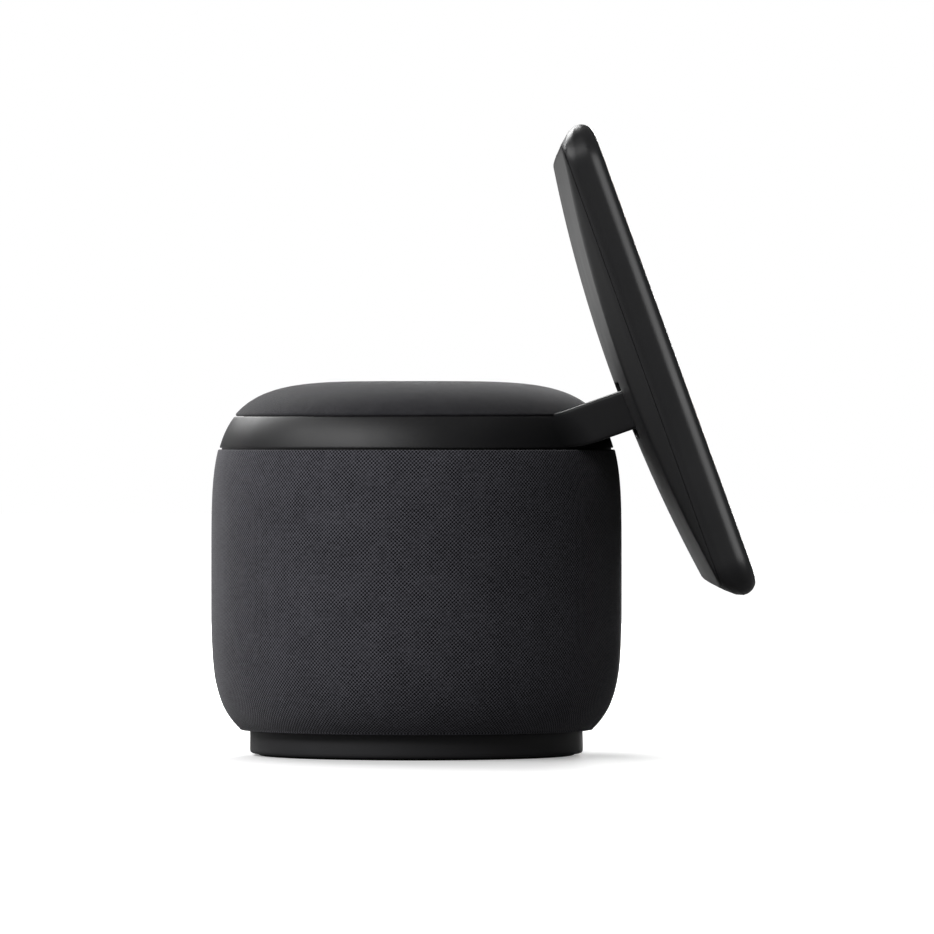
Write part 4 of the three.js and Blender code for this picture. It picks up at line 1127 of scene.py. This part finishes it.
@dataclass
class Turret:
    """The turning top: the ring with its arm, and the cloth cap."""

    workshop: Workshop
    barrel: Barrel
    pivot: Flat  # the hinge pin, as y and z
    half_width: float = 43.0
    thickness: float = 14.5
    rise: float = 19.3  # degrees
    nose: float = 7.2
    fillet: float = 18.0
    upper_bend: float = 43.0
    lower_bend: float = 45.0
    edge: float = 1.1  # rounding of the arm's long edges
    inset: float = 0.3
    seam: float = 0.5
    wall: float = 2.0
    ring_wall: float = 2.8
    cloth: float = 1.2
    root: float = -20.0
    channel: float = -48.0  # where the space inside the arm begins, front to back
    turns: int = 240  # steps in a full turn of the cap
    turn_in: float = 4.0  # cloth turned under at the cap's edge
    band: Flat = (112.0, 123.4)
    labyrinth: tuple[Flat, ...] = (
        (66.4, 109.6),
        (67.7, 109.6),
        (67.7, 111.3),
        (71.0, 111.3),
        (71.0, 112.4),
        (69.9, 114.0),
        (66.4, 114.0),
    )  # the lip that hides the seam under the ring
    shield: tuple[Flat, ...] = (
        (57.5, 122.5),
        (64.6, 122.5),
        (64.6, 123.3),
        (58.9, 123.3),
        (58.9, 124.3),
        (57.5, 124.3),
    )  # the same for the seam of the cap
    over_arm: tuple[Point, Point] = ((-42.5, -70.0, 120.0), (42.5, -46.0, 126.0))  # where the cap's lip is kept

    def build(self) -> None:
        """Builds and dresses every piece of the turret that shows."""
        self.ring_and_arm()
        self.cap()

    def face(self, z: float) -> float:
        """The radius of the ring's outer face at a height."""
        return self.barrel.reach(min(z, self.barrel.crown - 5)) - self.inset

    def flank(self, y: float, z: float, skin: float) -> float:
        """Half the arm's width at a place on its side, less a skin.

        Args:
            y: the place, front to back.
            z: its height.
            skin: how far inside the outer surface.

        Returns:
            The half width.
        """
        radius, fillet, width = self.face(z) - skin, self.fillet + skin, self.half_width - skin
        x = width + fillet
        front = -math.sqrt((radius + fillet) ** 2 - x * x)
        touch = front * radius / (radius + fillet)
        if y <= front:
            return width
        if y >= touch:
            return math.sqrt(radius**2 - y * y) - min(0.5, (y - touch) * 0.08)
        return x - math.sqrt(fillet**2 - (y - front) ** 2)

    def side_line(self, way: int, skin: float, start: float) -> list[Flat]:
        """The arm's top or bottom edge seen from the side, from its root to its nose.

        Args:
            way: 1 for the top and -1 for the bottom.
            skin: how far inside the outer surface.
            start: where the edge begins, front to back.

        Returns:
            [y, z] points.
        """
        turn = math.radians(self.rise)
        half = way * (self.thickness / 2 - skin)
        level = (self.band[1] if way > 0 else self.band[0]) - way * skin
        on_line = (self.pivot[0] + half * math.sin(turn), self.pivot[1] + half * math.cos(turn))
        corner = on_line[0] - (level - on_line[1]) / math.tan(turn)
        bend = self.upper_bend if way > 0 else self.lower_bend
        reach = bend * math.tan(turn / 2)
        sink = 0.12 * way
        points = [(start, level - sink)]
        for i in range(25):
            a = turn * i / 24
            easing = sink * (1 - i / 24) ** 2
            points.append((corner + reach - bend * math.sin(a), level - easing + bend * (1 - math.cos(a))))
        points.append(on_line)
        return points

    def arm(self, skin: float, start: float) -> Form:
        """The arm as a closed tube with rounded edges, less a skin.

        Args:
            skin: how far inside the outer surface.
            start: where the tube begins, front to back.

        Returns:
            The form.
        """
        turn = math.radians(self.rise)
        half, nose = self.thickness / 2 - skin, self.nose - skin
        stations: list[tuple[Flat, Flat]] = []
        edges = [self.side_line(way, skin, start) for way in (1, -1)]
        marks = [lengths(edge) for edge in edges]
        for i in range(121):
            share = i / 120
            pair = []
            for edge, mark in zip(edges, marks, strict=True):
                want = share * mark[-1]
                k = next((n for n in range(1, len(mark)) if mark[n] >= want - 1e-9), len(mark) - 1)
                t = (want - mark[k - 1]) / max(mark[k] - mark[k - 1], 1e-9)
                pair.append(tuple(edge[k - 1][n] + (edge[k][n] - edge[k - 1][n]) * t for n in (0, 1)))
            stations.append((pair[0], pair[1]))
        for i in range(1, 19):
            a = math.radians(90 - 5 * i)
            out, up = nose * math.cos(a), half * math.sin(a)
            ends = [
                (
                    self.pivot[0] - out * math.cos(turn) + way * up * math.sin(turn),
                    self.pivot[1] + out * math.sin(turn) + way * up * math.cos(turn),
                )
                for way in (1, -1)
            ]
            stations.append((ends[0], ends[1]))
        return Form().tube([self._section(top, bottom, skin) for top, bottom in stations])

    def _section(self, top: Flat, bottom: Flat, skin: float) -> list[Point]:
        """A closed ring of points across the arm, through a point of its top edge and one of its bottom edge.

        Args:
            top: the top edge's point, as y and z.
            bottom: the bottom edge's point, as y and z.
            skin: how far inside the outer surface.

        Returns:
            The ring, the same number of points every time.
        """
        height = math.dist(top, bottom)
        edge = max(0.2, self.edge - skin)
        bend = min(edge, height / 2)
        arc = [math.pi / 2 * i / 5 for i in range(6)]
        half: list[Flat] = []  # how far in from the flank, and how far down from the top
        half += [(edge * (1 - math.sin(a)), bend * (1 - math.cos(a))) for a in arc]
        half += [(0.0, bend + (height - 2 * bend) * i / 8) for i in range(1, 8)]
        half += [(edge * (1 - math.cos(a)), height - bend * (1 - math.sin(a))) for a in arc]
        right: list[Point] = []
        for inward, down in half:
            t = down / max(height, 1e-9)
            y, z = (top[n] + (bottom[n] - top[n]) * t for n in (0, 1))
            right.append((self.flank(y, z, skin) - inward, y, z))
        left = [(-x, y, z) for x, y, z in reversed(right)]
        across = 12

        def bridge(first: Point, last: Point) -> list[Point]:
            """Points along a straight line between two others."""
            return [tuple(first[n] + (last[n] - first[n]) * i / across for n in range(3)) for i in range(1, across)]

        return [*right, *bridge(right[-1], left[0]), *left, *bridge(left[-1], right[0])]

    def cap_room(self, grow: float, bottom: float) -> Form:
        """The space of the cap, grown by an amount, above a height.

        Args:
            grow: the amount.
            bottom: the height.

        Returns:
            The form.
        """
        heights = self.barrel.levels(bottom, self.barrel.crown - 0.05, 48)
        outer = [(self.barrel.reach(z) + grow, z) for z in heights]
        return turned([(0, bottom), *outer, (0, self.barrel.crown + 8)], 256)

    def ring_and_arm(self) -> Piece:
        """The full ring and the arm that grows out of it, hollow, as one moulding.

        Returns:
            The moulding.
        """
        bottom, top = self.band
        levels = self.barrel.levels(bottom, top, 14)
        side = [(self.face(z), z, 0.0) for z in levels[1:-1]]
        outline = softened(
            [(0, bottom, 0), (self.face(bottom), bottom, 0.55), *side, (self.face(top), top, 0.55), (0, top, 0)],
            5,
            closed=False,
        )
        piece = turned(outline, 288).built("ring_and_arm")
        carve(piece, self.arm(0.0, self.root).built("arm"), Carve.JOIN)
        carve(piece, self.cap_room(self.seam, top).built("cap_room"), Carve.TAKE)
        inner = [(self.face(z) - self.ring_wall, z) for z in (bottom - 1, bottom + 3, 118.0, top + 1)]
        carve(piece, turned([(0, bottom - 1), *inner, (0, top + 1)], 128).built("inside"), Carve.TAKE)
        channel = self.arm(self.wall, self.channel).built("channel")
        carve(channel, self.cap_room(self.seam + self.wall, top - 2.4).built("roof"), Carve.TAKE)
        carve(piece, channel, Carve.TAKE)
        carve(piece, turned(self.labyrinth, 128).built("labyrinth"), Carve.JOIN)
        shield = turned(self.shield, 128).built("shield")
        carve(shield, slab(*self.over_arm).built("front"), Carve.KEEP)
        carve(piece, shield, Carve.JOIN)
        smoothed(piece, 28.0)
        return self.workshop.dress(piece, SATIN, Body.TURRET, Slot.SATIN, "swivel_ring")

    def cap(self) -> Piece:
        """The cloth stretched over the dome, its edge rolled under.

        Returns:
            The cap.
        """
        bottom = span("fabric_cap")[0].z
        crown, half = self.barrel.crown, self.cloth / 2
        heights = self.barrel.levels(bottom + half, crown, 70)
        outer = [(self.barrel.reach(z), z) for z in heights[:-1]]
        inner = []
        for r, z in outer:
            out, up = self.barrel.outward(z)
            inner.append((max(0.0, r - self.cloth * out), z - self.cloth * up))
        (ra, za), (rb, zb) = outer[0], inner[0]
        lean = math.atan2(za - zb, ra - rb)
        ways = [lean - math.pi * i / 7 for i in range(6, 0, -1)]
        roll = [((ra + rb) / 2 + half * math.cos(a), (za + zb) / 2 + half * math.sin(a)) for a in ways]
        inner = [point for point in inner if point[0] > 0.5]
        outline = [(0.0, crown - self.cloth), *reversed(inner), *roll, *outer, (0.0, crown)]
        run = lengths(outline)
        total = run[-1]

        def place(ring: int, step: int) -> Flat:
            """The cloth unrolled flat round the crown, in millimetres.

            Args:
                ring: the point's number along the outline.
                step: its number round the crown.

            Returns:
                The place.
            """
            far = total - run[min(ring + 1, len(run) - 1)]
            angle = 2 * math.pi * step / self.turns
            return (far * math.cos(angle), far * math.sin(angle))

        piece = turned(outline, self.turns, place).built("cap_cloth")
        self.workshop.dress(smoothed(piece), CAP_KNIT, Body.TURRET, Slot.KNIT, "fabric_cap")
        size = 2 * (lengths(outer)[-1] + self.turn_in) * MM
        return piece


# ---------------------------------------------------------------- the display


@dataclass(frozen=True)
class Perimeter:
    """A walk round a rounded rectangle that keeps its steps at every inset."""

    width: float
    height: float
    corner: float
    arc: int = 14
    long: int = 56
    short: int = 44

    @property
    def count(self) -> int:
        """The number of steps."""
        return 4 * self.arc + 2 * (self.long + self.short)

    def spot(self, index: int, inset: float) -> Point:
        """Where a step is.

        Args:
            index: the step.
            inset: how far inside the outline.

        Returns:
            x, the height from the middle, and how much the step belongs to the top and bottom edges, 0 to 1.
        """
        radius = max(self.corner - inset, 1.0)
        w, h = self.width / 2 - inset - radius, self.height / 2 - inset - radius
        signs = ((1, 1), (-1, 1), (-1, -1), (1, -1))
        left = index % self.count
        for quarter in range(4):
            sides = self.long if quarter % 2 == 0 else self.short
            if left < self.arc:
                t = left / self.arc
                a = (quarter + t) * math.pi / 2
                share = t if quarter % 2 == 0 else 1 - t
                smooth = share * share * (3 - 2 * share)
                sx, sy = signs[quarter]
                return sx * w + radius * math.cos(a), sy * h + radius * math.sin(a), smooth
            left -= self.arc
            if left < sides:
                a = (quarter + 1) * math.pi / 2
                here, after = signs[quarter], signs[(quarter + 1) % 4]
                t = left / sides
                x = (here[0] * (1 - t) + after[0] * t) * w + radius * math.cos(a)
                y = (here[1] * (1 - t) + after[1] * t) * h + radius * math.sin(a)
                return x, y, 1.0 if quarter % 2 == 0 else 0.0
            left -= sides
        raise IndexError(index)


@dataclass
class Display:
    """The tilting screen: back cover, side frame, cover glass and controls."""

    workshop: Workshop
    pivot: Flat
    lean: float = 19.9  # degrees
    width: float = 251.0
    height: float = 176.0
    corner: float = 14.0
    raise_: float = 13.0
    front: float = 15.1
    edge_round: float = 5.0
    back: float = 6.1
    side_crease: float = 2.6
    end_crease: float = 7.9
    side_slope: float = 0.8
    end_slope: float = 1.15
    side_soft: float = 5.0
    end_soft: float = 3.0
    crown_across: float = 1.4e-4
    crown_down: float = 9.3e-4
    blend: float = 1.2
    split_gap: float = 0.2
    wall: float = 2.0
    margin: float = 4.5
    ledge: float = 4.0
    glass: float = 1.2
    pocket: Point = (44.2, 10.6, 7.8)  # half width, half height and floor
    pocket_wall: float = 1.4
    control_inset: float = 2.7
    window: float = 3.0
    controls: tuple[tuple[str, Body], ...] = (
        ("mute_button", Body.MUTE),
        ("volume_down_button", Body.VOLUME_DOWN),
        ("volume_up_button", Body.VOLUME_UP),
    )

    def __post_init__(self) -> None:
        """Works out the walk round the outline and the screen's own axes."""
        self.walk = Perimeter(self.width, self.height, self.corner)
        middle = Matrix.Translation((0, self.pivot[0], self.pivot[1]))
        self.pose = middle @ Matrix.Rotation(-math.radians(self.lean), 4, "X")

    def build(self) -> None:
        """Builds and dresses every piece of the screen that shows."""
        self.back_cover()
        self.side_frame()
        self.cover_glass()
        self.buttons()
        self.shutter()

    def local(self, x: float, u: float, forward: float) -> Point:
        """A point on the screen's own axes, from its middle: across, up and forward of the pivot."""
        return (x, -forward, u + self.raise_)

    def soft_max(self, a: float, b: float) -> float:
        """The smooth larger of two values."""
        share = min(1.0, max(0.0, 0.5 + (a - b) / (2 * self.blend)))
        return b + (a - b) * share + self.blend * share * (1 - share)

    def creases(self, end: float) -> Flat:
        """Where the edge of the back is, forward of the pivot, and how steeply the back leaves it."""
        crease = self.side_crease + (self.end_crease - self.side_crease) * end
        return crease, self.side_slope + (self.end_slope - self.side_slope) * end

    def behind(self, index: int, inset: float) -> Point:
        """A point of the back surface: across, up from the middle, and forward of the pivot.

        Args:
            index: the step of the walk round the outline.
            inset: how far inside the outline.

        Returns:
            The point.
        """
        x, u, end = self.walk.spot(index, inset)
        crease, slope = self.creases(end)
        crown = -self.back + self.crown_across * x * x + self.crown_down * u * u
        bevel = crease - slope * inset
        soft = self.side_soft + (self.end_soft - self.side_soft) * end
        steep = math.hypot(1.0, slope)
        if inset < soft * (1 - slope / steep):
            bevel = crease + soft * (steep - slope) - math.sqrt(max(0.0, soft * soft - (soft - inset) ** 2))
        return x, u, min(self.soft_max(crown, bevel), self.front - self.edge_round)

    def inset_at(self, index: int, forward: float) -> float:
        """The inset at which the back surface is a distance forward of the pivot.

        Args:
            index: the step of the walk round the outline.
            forward: the distance.

        Returns:
            The inset.
        """
        low, high = 0.0, 40.0
        if self.behind(index, 0.0)[2] <= forward:
            return 0.0
        for _ in range(40):
            middle = (low + high) / 2
            if self.behind(index, middle)[2] > forward:
                low = middle
            else:
                high = middle
        return (low + high) / 2

    def back_cover(self) -> Piece:
        """The crowned back, hollow, with the pocket that the arm's nose turns in.

        Returns:
            The back.
        """
        count = self.walk.count
        rim = self.side_crease - self.split_gap / 2
        edges = [self.inset_at(i, rim) for i in range(count)]
        deepest = self.height / 2 - 1.2
        steps = [0.0, 0.3, 0.8, 1.5, 2.2, 3.0, 4.0, 5.0, 6.0, 7.0, 8.0, 9.5, 11.0, 13.0, 16.0, 20.0, 25.0, 31.0]
        steps += [38.0, 46.0, 54.0, 62.0, 70.0, 78.0]
        outer = []
        for step in [*reversed(steps), None]:
            ring = []
            for i in range(count):
                if step is None:
                    x, u, _ = self.behind(i, edges[i])
                    ring.append(self.local(x, u, rim))
                    continue
                inset = edges[i] + step * (deepest - edges[i]) / (deepest - 4.0) if step else edges[i] + 0.12
                ring.append(self.local(*self.behind(i, min(inset, deepest))))
            outer.append(ring)
        inner = []
        for step in (0.0, 3.0, 8.0, 14.0, 24.0, 40.0, 60.0, 78.0):
            ring = []
            for i in range(count):
                inset = edges[i] + self.wall + step
                x, u, forward = self.behind(i, min(inset, deepest - 0.5))
                ring.append(self.local(x, u, rim if step == 0 else min(rim, forward + self.wall * 1.1)))
            inner.append(ring)
        form = Form()
        starts = form.skin([*outer, *inner])
        form.pole(starts[0], count, self.local(0, 0, -self.back))
        form.pole(starts[-1], count, self.local(0, 0, -self.back + self.wall * 1.1))
        piece = form.built("screen_back", self.pose)
        half, tall, floor = self.pocket
        tray = self._tub(half + self.pocket_wall, tall + self.pocket_wall, floor + self.pocket_wall, 1.2, 2.4)
        carve(piece, tray.built("tray", self.pose), Carve.JOIN)
        carve(piece, self._mouth().built("mouth", self.pose), Carve.TAKE)
        smoothed(piece, 30.0)
        # the back wears the darker satin, whose colour carries painted shade
        return self.workshop.dress(piece, SHADED_SCREEN_SATIN, Body.DISPLAY, Slot.SATIN, "back_cover")

    def _pocket_ring(self, half: float, tall: float, corner: float, forward: Depth) -> list[Point]:
        """A rounded ring about the pivot.

        Args:
            half: half its width.
            tall: half its height.
            corner: its corner radius.
            forward: how far forward each point is, from its place.

        Returns:
            The points on the screen's axes.
        """
        walk = Perimeter(2 * half, 2 * tall, corner, 8, 40, 10)
        ring = []
        for i in range(walk.count):
            x, u, _ = walk.spot(i, 0.0)
            ring.append((x, -forward(x, u), u))
        return ring

    def crown_at(self, x: float, u: float, deep: float = 0.0) -> float:
        """The back's crown forward of the pivot, at a height from the pivot, or a depth under it."""
        return -self.back + self.crown_across * x * x + self.crown_down * (u - self.raise_) ** 2 + deep

    def _tub(self, half: float, tall: float, floor: float, start: float, corner: float) -> Form:
        """A block that reaches from just inside the back to a floor.

        Args:
            half: half its width.
            tall: half its height.
            floor: how far forward of the pivot its floor is.
            start: how far inside the back it starts.
            corner: its corner radius.

        Returns:
            The form.
        """
        form = Form()
        rings = [
            self._pocket_ring(half, tall, corner, partial(self.crown_at, deep=start)),
            self._pocket_ring(half, tall, corner, lambda x, u: floor - 0.8),
            self._pocket_ring(half - 0.8, tall - 0.8, corner, lambda x, u: floor),
        ]
        starts = form.skin(rings)
        form.pole(starts[0], len(rings[0]), (0, -self.crown_at(0, 0, start), 0))
        form.lid(starts[-1], len(rings[0]))
        return form

    def _mouth(self) -> Form:
        """The space of the pocket, flared where it meets the back.

        Returns:
            The form, for cutting with.
        """
        half, tall, floor = self.pocket
        flare, corner = 0.9, 2.0
        wide = 1.6
        forward = partial(self.crown_at, deep=-1.0)
        rings = [self._pocket_ring(half + wide, tall + wide, corner + wide, forward)]
        for i in range(1, 7):
            a = math.pi / 2 * i / 6
            out, deep = flare * (1 - math.sin(a)), flare * (1 - math.cos(a))
            forward = partial(self.crown_at, deep=deep)
            rings.append(self._pocket_ring(half + out, tall + out, corner + out, forward))
        rings.append(self._pocket_ring(half, tall, corner, lambda x, u: floor))
        form = Form()
        starts = form.skin(rings)
        count = len(rings[0])
        form.pole(starts[0], count, (0, -self.crown_at(0, 0, -1.0), 0))
        form.lid(starts[-1], count)
        return form

    def side_frame(self) -> Piece:
        """The frame round the edge, swept as one section, with the slots of the controls.

        Returns:
            The frame.
        """
        rim = self.side_crease + self.split_gap / 2
        deep = self.front - self.glass - 0.3
        lip = self.margin - 0.3
        inside = self.margin + self.ledge
        radius = self.edge_round
        last = math.acos((radius - lip) / radius)
        sections = []
        for i in range(self.walk.count):
            crease = max(self.behind(i, 0.0)[2], rim)
            cut = self.inset_at(i, rim)
            slope = [(cut * (1 - j / 8), self.behind(i, cut * (1 - j / 8))[2]) for j in range(1, 8)]
            corners = [(cut, rim, 0.0)]
            corners += [(d, max(v, rim + 0.02 * j), 0.0) for j, (d, v) in enumerate(slope[:-1])]
            corners += [(0.0, crease + 0.15, 0.6)]
            corners += [(0.0, crease + (self.front - radius - crease) * share, 0.0) for share in (0.3, 0.65)]
            corners += [
                (radius * (1 - math.cos(a)), self.front - radius + radius * math.sin(a), 0.0)
                for a in (last * k / 12 for k in range(13))
            ]
            corners += [(lip, deep, 0.1), (inside, deep, 0.2)]
            corners += [(inside, deep - 0.5, 0.1), (lip + 1.0, deep - 0.6, 0.0)]
            corners += [(self.wall + 0.5, self.front - radius + 1.5, 0.0), (self.wall, self.front - radius, 0.0)]
            corners += [(self.wall, crease + 1.4, 0.0), (cut + self.wall, rim, 0.0)]
            sections.append(softened(corners, 3))
        rings = []
        for k in range(len(sections[0])):
            ring = []
            for i, section in enumerate(sections):
                inset, forward = section[k]
                x, u, _ = self.walk.spot(i, inset)
                ring.append(self.local(x, u, forward))
            rings.append(ring)
        form = Form()
        form.skin(rings, closed=True)
        piece = form.built("screen_frame", self.pose)
        for name, _ in self.controls:
            place = self._control_place(name)
            carve(piece, self._pill(12.6, 5.0, -8, 5, 0.0, 0.0).built("slot", self._on_slope(place)), Carve.TAKE)
        knob = self._control_place("shutter_knob")
        slot = self._pill(18.1, 4.0, -8, 5, 0.0, 0.0).built("slot", self._on_slope(knob + 4.75))
        carve(piece, slot, Carve.TAKE)
        smoothed(piece, 30.0)
        # the frame wears the darker satin, whose colour carries painted shade
        return self.workshop.dress(piece, SHADED_SCREEN_SATIN, Body.DISPLAY, Slot.SATIN, "side_frame")

    def _control_place(self, node: str) -> float:
        """How far across the screen a control is."""
        low, high = span(node)
        return (low.x + high.x) / 2

    def _on_slope(self, x: float) -> Matrix:
        """The axes of the slanted face along the top edge: +z out of it, x across.

        Args:
            x: how far across the screen the axes stand.

        Returns:
            The axes, in millimetres.
        """
        forward = self.end_crease - self.end_slope * self.control_inset
        at = Matrix.Translation((x, -forward, self.raise_ + self.height / 2 - self.control_inset))
        return self.pose @ at @ Matrix.Rotation(-math.atan(1 / self.end_slope), 4, "X")

    def _pill(self, length: float, width: float, bottom: float, top: float, edge: float, crown: float) -> Form:
        """A bar with round ends that stands up, its top edge rounded and its face crowned.

        Args:
            length: its length, along x.
            width: its width.
            bottom: the height of its foot.
            top: the height of its face.
            edge: the rounding of its top edge.
            crown: how much higher its middle is than its edge.

        Returns:
            The form.
        """
        straight = length / 2 - width / 2

        def ring(inset: float, z: float, crowned: float) -> list[Point]:
            """The outline at an inset and a height.

            Args:
                inset: how far inside the bar the ring is.
                z: its height.
                crowned: what the crown adds to the height.

            Returns:
                The ring.
            """
            points = []
            for x, start in ((straight, -90), (-straight, 90)):
                for i in range(17):
                    a = math.radians(start + i * 180 / 16)
                    size = width / 2 - inset
                    points.append((x + size * math.cos(a), size * math.sin(a), z + crowned))
            return points

        rings = [ring(0, bottom, 0)]
        if edge > 0:
            for i in range(7):
                a = math.pi / 2 * i / 6
                rings.append(ring(edge * (1 - math.cos(a)), top - crown - edge * (1 - math.sin(a)), 0))
            for share in (0.35, 0.65, 0.9):
                rings.append(ring(edge + (width / 2 - edge) * share, top - crown, crown * (1 - (1 - share) ** 2)))
        else:
            rings.append(ring(0, top, 0))
        return Form().tube(rings)

    def buttons(self) -> None:
        """The three buttons on the top edge."""
        for name, body in self.controls:
            form = self._pill(12.0, 4.4, -3.0, 0.4, 0.35, 0.12)
            piece = form.built(f"{name}_cap", self._on_slope(self._control_place(name)))
            self.workshop.dress(smoothed(piece), BUTTON_SATIN, body, Slot.SATIN, name)

    def shutter(self) -> None:
        """The sliding knob of the camera's shutter, with a ribbed grip."""
        place = self._on_slope(self._control_place("shutter_knob"))
        piece = self._pill(8.0, 3.4, -2.6, 0.7, 0.3, 0.0).built("shutter_grip", place)
        for x in (-1.2, 0.0, 1.2):
            groove = self._pill(2.4, 0.5, 0.45, 2.0, 0.0, 0.0)
            turn = place @ Matrix.Translation((x, 0, 0)) @ Matrix.Rotation(math.pi / 2, 4, "Z")
            carve(piece, groove.built("groove", turn), Carve.TAKE)
        self.workshop.dress(smoothed(piece), BUTTON_SATIN, Body.SHUTTER, Slot.SATIN, "shutter_knob")

    def cover_glass(self) -> None:
        """The cover glass with its small polished edge, and the clear window of the camera in it."""
        walk = Perimeter(self.width - 2 * self.margin, self.height - 2 * self.margin, self.corner - self.margin)
        back, face = self.front - self.glass, self.front
        chamfer, edge = 0.15, 0.4
        steps = [(chamfer, back), (0.0, back + chamfer), (0.0, face - edge)]
        arc = [math.pi / 2 * k / 5 for k in range(1, 6)]
        steps += [(edge * (1 - math.cos(a)), face - edge * (1 - math.sin(a))) for a in arc]
        rings = []
        for inset, forward in steps:
            spots = (walk.spot(i, inset) for i in range(walk.count))
            rings.append([self.local(x, u, forward) for x, u, _ in spots])
        piece = Form().tube(rings).built("screen_glass", self.pose)
        lens_low, lens_high = span("camera_lens")
        middle = self.pose.inverted() @ ((lens_low + lens_high) / 2)
        at = self.pose @ Matrix.Translation((middle.x, 0, middle.z)) @ Matrix.Rotation(math.pi / 2, 4, "X")
        rim = [(self.window, back - 2), (self.window, face + 2)]
        carve(piece, turned([(0, back - 2), *rim, (0, face + 2)], 64).built("window_hole", at), Carve.TAKE)
        self.workshop.dress(smoothed(piece), GLASS, Body.DISPLAY, Slot.GLASS, "cover_glass")
        size = self.window - 0.02
        outline = softened([(0, back, 0), (size, back, 0.1), (size, face, 0.1), (0, face, 0)], closed=False)
        pane = turned(outline, 64).built("camera_window", at)
        self.workshop.dress(smoothed(pane), WINDOW, Body.DISPLAY, Slot.GLASS)


# ---------------------------------------------------------------- the studio


@dataclass
class Lamp:
    """A soft rectangular light."""

    name: str
    place: Point
    size: Flat
    power: float
    aim: Point = (0.0, 0.0, 0.1)
    only: tuple[str, ...] = ()

    def build(self) -> None:
        """Puts the light in the scene, turned to its aim, and keeps it to the pieces that it names."""
        data = bpy.data.lights.new(self.name, "AREA")
        data.shape = "RECTANGLE"
        data.size, data.size_y = self.size
        data.energy = self.power
        made = shown(self.name, data, self.place, self.aim)
        if self.only:
            lit = bpy.data.collections.new(f"{self.name}_pieces")
            for name in self.only:
                lit.objects.link(bpy.data.objects[name])
            made.light_linking.receiver_collection = lit


@dataclass
class Studio:
    """The camera, the soft lights, the pale floor and the white surroundings."""

    stand: Point = (-3.462, -0.0184, 0.1215)
    aim: Point = (0.0, -0.0184, 0.105)
    lens: float = 366.0
    ambient: Flat = (0.085, 0.12)  # the surroundings in front of the speaker, and behind it
    glow: Flat = (0.3, 1.0)  # what the floor gives by itself, near and far, seen directly
    glow_around: Flat = (0.02, 0.8)  # the same on the left, as light on other things
    paint: Flat = (0.12, 0.9)  # how pale the floor is to other things, and seen directly
    lamps: tuple[Lamp, ...] = (
        Lamp("left_softbox", (-1.15, 1.45, 1.6), (2.9, 0.9), 36.0),
        Lamp("back_left", (1.3, 0.65, 1.1), (1.2, 0.8), 24.0),
        Lamp("back_right", (2.2, -0.4, 0.3), (0.4, 0.8), 30.0),
        Lamp("screen_softbox", (-1.3, -1.45, 0.6), (1.9, 1.0), 21.0, only=("screen_frame", "screen_back")),
    )

    def camera(self) -> None:
        """Puts the camera level with the middle of the speaker, side on to the screen."""
        data = bpy.data.cameras.new("side_camera")
        data.lens = self.lens
        data.clip_start, data.clip_end = 0.1, 60.0
        bpy.context.scene.camera = shown("side_camera", data, self.stand, self.aim)

    def surroundings(self) -> None:
        """White all round for the eye, and dimmer for the light that it gives."""
        world = bpy.data.worlds.new("white_studio")
        world.use_nodes = True
        bench = Bench(world.node_tree)
        world.node_tree.nodes.clear()
        seen = bench.node("ShaderNodeLightPath").outputs["Is Camera Ray"]
        heading = bench.split(bench.node("ShaderNodeTexCoord").outputs["Generated"])[0]
        around = bench.between(heading, 0.1, 0.95, *self.ambient)
        strength = bench.math("MAXIMUM", seen, around)
        light = bench.node("ShaderNodeBackground", {"Color": (1.0, 1.0, 1.0), "Strength": strength})
        bench.node("ShaderNodeOutputWorld", {"Surface": light.outputs[0]})
        bpy.context.scene.world = world
        bpy.context.scene.view_settings.view_transform = "Standard"

    def floor(self) -> None:
        """A wide pale floor."""
        form = Form()
        count, far = 96, 9000.0
        rings = []
        for radius in (0.5, 150.0, 400.0, 1500.0, far):
            turns = (2 * math.pi * j / count for j in range(count))
            rings.append([(radius * math.cos(a), radius * math.sin(a), 0.0) for a in turns])
        starts = form.skin(rings)
        form.pole(starts[0], count, (0.0, 0.0, 0.0))
        made = form.built("floor")
        paint = bpy.data.materials.new("pale_floor")
        paint.use_nodes = True
        paint.node_tree.nodes.clear()
        bench = Bench(paint.node_tree)
        shader = bench.node("ShaderNodeBsdfPrincipled", {"Roughness": 0.7, "Emission Color": (1.0, 1.0, 1.0)})
        seen = bench.node("ShaderNodeLightPath").outputs["Is Camera Ray"]
        dim, pale = ((share, share, share) for share in self.paint)
        spot = bench.node("ShaderNodeTexCoord").outputs["Object"]
        far = bench.node("ShaderNodeVectorMath", {0: spot}, operation="LENGTH").outputs["Value"]
        glow = bench.between(far, 0.08, 0.3, *self.glow)
        around = bench.between(bench.split(spot)[1], 0.3, 0.65, *self.glow_around)
        strength = bench.total(bench.product(seen, bench.math("SUBTRACT", glow, around)), around)
        bench.feed(shader, {"Base Color": bench.mix(seen, dim, pale), "Emission Strength": strength})
        bench.node("ShaderNodeOutputMaterial", {"Surface": shader.outputs[0]})
        made.data.materials.append(paint)

    def light(self) -> None:
        """Puts every lamp in the scene."""
        for lamp in self.lamps:
            lamp.build()


def main() -> None:
    """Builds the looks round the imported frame, one sub-assembly after another."""
    logging.basicConfig(level=logging.INFO, format="%(message)s")
    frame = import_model()
    studio = Studio()
    studio.camera()
    studio.surroundings()
    studio.floor()

    workshop = Workshop(Effects())
    barrel = Barrel()
    hinge = next(joint for joint in frame["joints"] if joint["name"] == "tilt")["pos_m"]
    pivot = (hinge[1] / MM, hinge[2] / MM)
    SpeakerBase(workshop, barrel).build()
    Turret(workshop, barrel, pivot).build()
    Display(workshop, pivot).build()
    workshop.dress_carried(frame["nodes"])
    studio.light()


if __name__ == "__main__":
    main()
